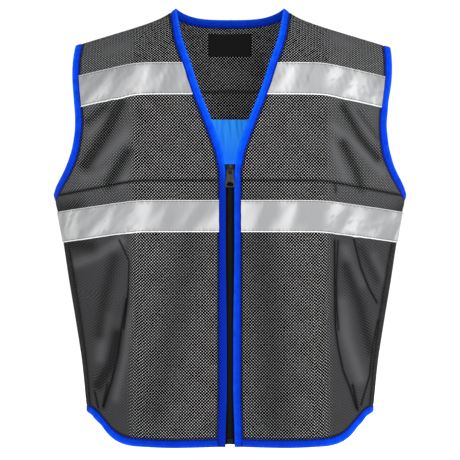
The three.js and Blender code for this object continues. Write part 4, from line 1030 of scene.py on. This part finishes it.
def edgingShape(at, out, up):
    # A groove of Gaussian section on the stitch line, two summed sines beside it, and a slight lean
    groove = edge["groove"] * np.exp(-((out - edging["stitchLine"]) / edge["grooveReach"]) ** 2)
    wave = np.sin(2 * np.pi * at / edge["puckerLength"])
    wave = wave + 0.6 * np.sin(2 * np.pi * at / edge["longLength"] + 1.1)
    fold = edge["pucker"] * wave * np.exp(-((out - edge["puckerAt"]) / edge["puckerAt"]) ** 2)
    thinned = up - np.sign(up) * np.minimum(groove - fold * 0.5 + 0.1, np.abs(up) * 0.6)
    return out, thinned + edge["lean"] * (out - edge["width"] / 2)


def collarShape(at, out, up):
    # The edging is narrower beside the upper zip, by its distance along the line from either foot
    out, up = edgingShape(at, out, up)
    fromFoot = np.minimum(at, at[-1] - at)
    narrow = smoothStep(fromFoot, *edge["narrowFrom"]) * (1 - smoothStep(fromFoot, *edge["narrowTo"]))
    return out * (1 - edge["zipNarrowing"] * narrow), up


def armShade(points):
    # Painted shade: brightest over the shoulder, painted duller down the armhole
    return edgeShades["arm"] * smoothStep(-points[:, 2], *edgeShades["armBand"])


def armShape(at, out, up):
    # The ring draws in where the edging bends over the shoulder, at both ends of its closed line
    out, up = edgingShape(at, out, up)
    fromTop = np.minimum(at, at[-1] - at)
    return out * (1 - edge["drawnIn"] * np.exp(-(fromTop / edge["drawnReach"]) ** 2)), up


def edgePlaces(face, turns, rows):
    return bodySurface(face, turns, rows), surfaceNormal(face, turns, rows)


def joinPlaces(*runs):
    return np.vstack([r[0] for r in runs]), np.vstack([r[1] for r in runs])


def reversePlaces(run):
    return run[0][::-1], run[1][::-1]


def frontEdge(side):
    rows = rowsBetween(0, hemRow)
    turns = side * turnAt("front", rows, crossing("front", rows, frontEdgeAt))
    points, normals = edgePlaces("front", turns, rows)
    foot = points[-1] - np.array([0, 0, edge["width"]])
    return np.vstack([points, foot]), np.vstack([normals, normals[-1]])


def collarShade(points):
    # Painted shade: the edging is painted duller at the back of the neck, and down the zip, most on the
    # wearer's right
    behind = smoothStep(points[:, 1], *edgeShades["neckBand"])
    foot, band = body["frontNeckDrop"], edgeShades["zipBand"]
    down = smoothStep(-points[:, 2], foot - band, foot + band)
    zipShade = np.where(points[:, 0] < 0, edgeShades["zipRight"], edgeShades["zipLeft"])
    return np.maximum(edgeShades["neck"] * behind, down * zipShade)


acrossNeck = body["neckHalf"] * np.sin(np.linspace(math.pi / 2, -math.pi / 2, edge["neckPlaces"]))[1:-1]
topEdge = np.zeros(len(acrossNeck))
neckTurns = 180 - np.sign(acrossNeck) * turnAt("back", topEdge, acrossNeck)
neckRun = edgePlaces("back", neckTurns, topEdge)
points, normals = joinPlaces(reversePlaces(frontEdge(1)), neckRun, frontEdge(-1))
collar = stripPiece("collar_edging", points, normals, -1, edgingRing(), shape=collarShape, paintedShade=collarShade)
finishPiece(collar, wovenEdging, ["neck_binding"])

armRows = rowsBetween(0, rowOf["underarm"])
for name, side in fronts.items():
    frontRun = edgePlaces("front", side * outerTurn("front", armRows, side), armRows)
    backRun = edgePlaces("back", side * outerTurn("back", armRows, side), armRows)
    points, normals = joinPlaces(frontRun, reversePlaces((backRun[0][1:-1], backRun[1][1:-1])))
    piece = stripPiece(f"arm_edging_{name}", points, normals, -side, edgingRing(), closed=True, shape=armShape,
                       paintedShade=armShade)
    finishPiece(piece, wovenEdging, [f"armhole_binding_{name}"])


def hemShade(points):
    # Painted shade: duller along the middle of the hem, brighter where it turns up at the sides
    return edgeShades["hem"] * (1 - smoothStep(np.abs(points[:, 0]), *edgeShades["hemBand"]))


def hemRun(side):
    row = np.full(edge["hemPlaces"], float(hemRow))
    inner = turnAt("front", row, crossing("front", row, frontEdgeAt))
    turns = inner + (outerTurn("front", row, side) - inner) * np.linspace(0, 1, len(row))
    points, normals = edgePlaces("front", side * turns, row)
    points[0, 0] += side * 0.5
    return points, normals


row = np.full(edge["hemBackPlaces"], float(hemRow))
hemTurns = np.linspace(outerTurn("back", row, 1)[0], 360 - outerTurn("back", row, -1)[0], len(row))
hemBack = edgePlaces("back", hemTurns, row)
hemBack = (hemBack[0][1:-1], hemBack[1][1:-1])
points, normals = joinPlaces(hemRun(1), hemBack, reversePlaces(hemRun(-1)))
piece = stripPiece("hem_edging", points, normals, 1, edgingRing(), shape=edgingShape, paintedShade=hemShade)
finishPiece(piece, wovenEdging, ["hem_binding"])
print("edgings made")

# Zip: woven tapes behind the edging, and moulded teeth that mesh at the centre
zipFit = {"tapeTopRow": 2.9, "teethHalf": 2.9, "tapeWidth": 11, "tapeWall": 1.0, "webStart": 0.15,
          "webFoot": 9, "webColumns": 7, "pitch": 2.5, "toothWall": 2.4}
zipHigh = -edge["halfWall"] - body["gap"]
for name, side in fronts.items():
    rows = rowsBetween(zipFit["tapeTopRow"], hemRow)
    start = turnAt("front", rows, np.full(len(rows), zipFit["webStart"]))
    end = turnAt("front", rows, np.full(len(rows), zipFit["teethHalf"] + body["gap"] + zipFit["tapeWidth"]))
    grid = frontGrid(rows, side, start, end, zipFit["webColumns"])
    foot = {"points": (0, 0, -zipFit["webFoot"]), "normals": (0, 0, 0), "flat": (0, -zipFit["webFoot"])}
    grid = {key: np.concatenate([values, values[-1:] + np.array(foot[key])]) for key, values in grid.items()}
    piece = wallPiece(f"zip_web_{name}", grid, zipHigh - zipFit["tapeWall"], zipHigh)
    finishPiece(piece, zipTwill, [f"zip_tape_{name}"])


def toothTemplate():
    # One tooth seen from the front: a foot at the tape, a waist and a rounded head, as a prism whose
    # front face is drawn in a little
    outline = np.array([(2.9, -0.62), (1.7, -0.62), (1.2, -0.4), (0.7, -0.4), (0.2, -0.62), (-0.35, -0.62),
                        (-0.72, -0.3), (-0.72, 0.3), (-0.35, 0.62), (0.2, 0.62), (0.7, 0.4), (1.2, 0.4),
                        (1.7, 0.62), (2.9, 0.62)])
    n = len(outline)
    shrunk = outline * (0.94, 0.8)
    half = zipFit["toothWall"] / 2
    layers = [(outline, -half), (outline, 0.7 * half), (shrunk, half)]
    vertices = np.concatenate([np.column_stack([corners, np.full(n, high)]) for corners, high in layers])
    ring = np.arange(n)
    following = np.roll(ring, -1)
    sides = [np.stack([ring, following, following + n, ring + n], axis=-1) + k * n for k in (0, 1)]
    return vertices, np.concatenate(sides), [list(ring[::-1]), list(ring + 2 * n)]


template, templateSides, templateEnds = toothTemplate()
for name, side in fronts.items():
    rows = rowsBetween(rowOf["neckFoot"], hemRow)
    points, normals = edgePlaces("front", np.zeros(len(rows)), rows)
    even, facing, at = alongLine(points, normals, zipFit["pitch"])
    keep = slice(1, -1)
    shift = side * zipFit["pitch"] / 4
    tangent = np.gradient(even, axis=0)[keep]
    tangent /= np.linalg.norm(tangent, axis=1, keepdims=True)
    facing = facing[keep]
    across = np.cross(facing, tangent)
    across *= side * np.sign(across[0, 0])
    centre = even[keep] + tangent * shift + facing * (zipHigh - zipFit["tapeWall"] / 2)
    vertices = (centre[:, None] + across[:, None] * template[:, :1] + tangent[:, None] * template[:, 1:2]
                + facing[:, None] * template[:, 2:])
    count, corners = vertices.shape[:2]
    offsets = np.arange(count)[:, None, None] * corners
    faces = (templateSides[None] + offsets).reshape(-1, 4).tolist()
    for end in templateEnds:
        faces.extend((np.array(end)[None] + offsets[:, :, 0]).tolist())
    mesh = bpy.data.meshes.new(f"zip_row_{name}")
    mesh.from_pydata((vertices.reshape(-1, 3) * 0.001).tolist(), [], faces)
    work = bmesh.new()
    work.from_mesh(mesh)
    bmesh.ops.recalc_face_normals(work, faces=work.faces)
    work.to_mesh(mesh)
    work.free()
    piece = bpy.data.objects.new(f"zip_row_{name}", mesh)
    bpy.context.collection.objects.link(piece)
    finishPiece(piece, acetal, [f"zip_teeth_{name}"])
print("zip tapes and teeth made")


def roundedCopy(node, name, material, width, rider="vest"):
    # The solid's own form with its doubles merged and its sharp edges rounded
    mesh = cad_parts[node].data.copy()
    mesh.name = name
    work = bmesh.new()
    work.from_mesh(mesh)
    bmesh.ops.remove_doubles(work, verts=work.verts, dist=0.00001)
    bmesh.ops.dissolve_limit(work, angle_limit=math.radians(2), verts=work.verts, edges=work.edges)
    work.to_mesh(mesh)
    work.free()
    piece = bpy.data.objects.new(name, mesh)
    bpy.context.collection.objects.link(piece)
    bevel = piece.modifiers.new("edges", "BEVEL")
    bevel.width = width * 0.001
    bevel.segments = 2
    bevel.limit_method = "ANGLE"
    bevel.angle_limit = math.radians(30)
    bevel.harden_normals = False
    mesh.polygons.foreach_set("use_smooth", np.ones(len(mesh.polygons), bool))
    mesh.set_sharp_from_angle(angle=math.radians(30))
    return finishPiece(piece, material, [node], rider)


roundedCopy("zip_slider", "slider_body", blackZinc, 0.3)
roundedCopy("zip_puller", "puller_plate", greyZinc, 0.35, "puller")
roundedCopy("zip_box", "zip_stop", acetal, 0.4)
print("zip fittings made")

# Floor, soft studio light and a white surround
studio = {"floor": -0.78, "floorHalf": 6.0, "floorGlow": 0.8, "paper": "fbfbfb", "paperLight": "ffffff",
          "paperCloud": 900, "surround": 0.42, "seen": 1.05}
lamps = {
    "key": {"energy": 98, "size": 2.2, "place": (1.3, -2.8, 1.5), "target": (0, 0, -0.35)},
    "fill": {"energy": 15, "size": 2.5, "place": (-2.2, -2.6, 0.4), "target": (0, 0, -0.35)},
    "top": {"energy": 13, "size": 2.0, "place": (0, 0.6, 2.4), "target": (0, 0, -0.35)},
    "inside": {"energy": 0.42, "size": 0.16, "place": (0, -0.03, -0.37), "target": (0, 0.1, -0.3)},
}
floorMaterial, tree, shader = newMaterial("matt white paper", Roughness=0.9)
clouds = cloudFactor(tree, studio["paperCloud"], 0, 1)
tone = mixColours(tree, clouds, linear(studio["paper"]), linear(studio["paperLight"]))
tree.links.new(tone, shader.inputs["Base Color"])
shader.inputs["Emission Color"].default_value = (1, 1, 1, 1)
shader.inputs["Emission Strength"].default_value = studio["floorGlow"]
size, level = studio["floorHalf"], studio["floor"]
corners = [(-size, -size, level), (size, -size, level), (size, size, level), (-size, size, level)]
floorMesh = bpy.data.meshes.new("floor")
floorMesh.from_pydata(corners, [], [(0, 1, 2, 3)])
floor = bpy.data.objects.new("floor", floorMesh)
bpy.context.collection.objects.link(floor)
floorMesh.materials.append(floorMaterial)


def addLight(name, energy, size, place, target):
    # A square area lamp turned to face its target
    light = bpy.data.lights.new(name, "AREA")
    light.energy = energy
    light.size = size
    lamp = bpy.data.objects.new(name, light)
    lamp.location = place
    aim = np.array(target) - np.array(place)
    flatLength = math.hypot(aim[0], aim[1])
    lamp.rotation_euler = (math.atan2(flatLength, -aim[2]), 0, math.atan2(aim[1], aim[0]) - math.pi / 2)
    bpy.context.collection.objects.link(lamp)
    return lamp


lights = {name: addLight(name, **settings) for name, settings in lamps.items()}
lights["inside"].visible_camera = False
world = bpy.data.worlds.new("surround")
world.use_nodes = True
tree = world.node_tree
seen = addNode(tree, "ShaderNodeLightPath").outputs["Is Camera Ray"]
strength = addNode(tree, "ShaderNodeMapRange", {
    "Value": seen, "To Min": studio["surround"], "To Max": studio["seen"]})
tree.links.new(strength.outputs["Result"], tree.nodes["Background"].inputs["Strength"])
tree.nodes["Background"].inputs["Color"].default_value = (1, 1, 1, 1)
bpy.context.scene.world = world
bpy.context.scene.view_settings.view_transform = "Standard"
print("studio set")
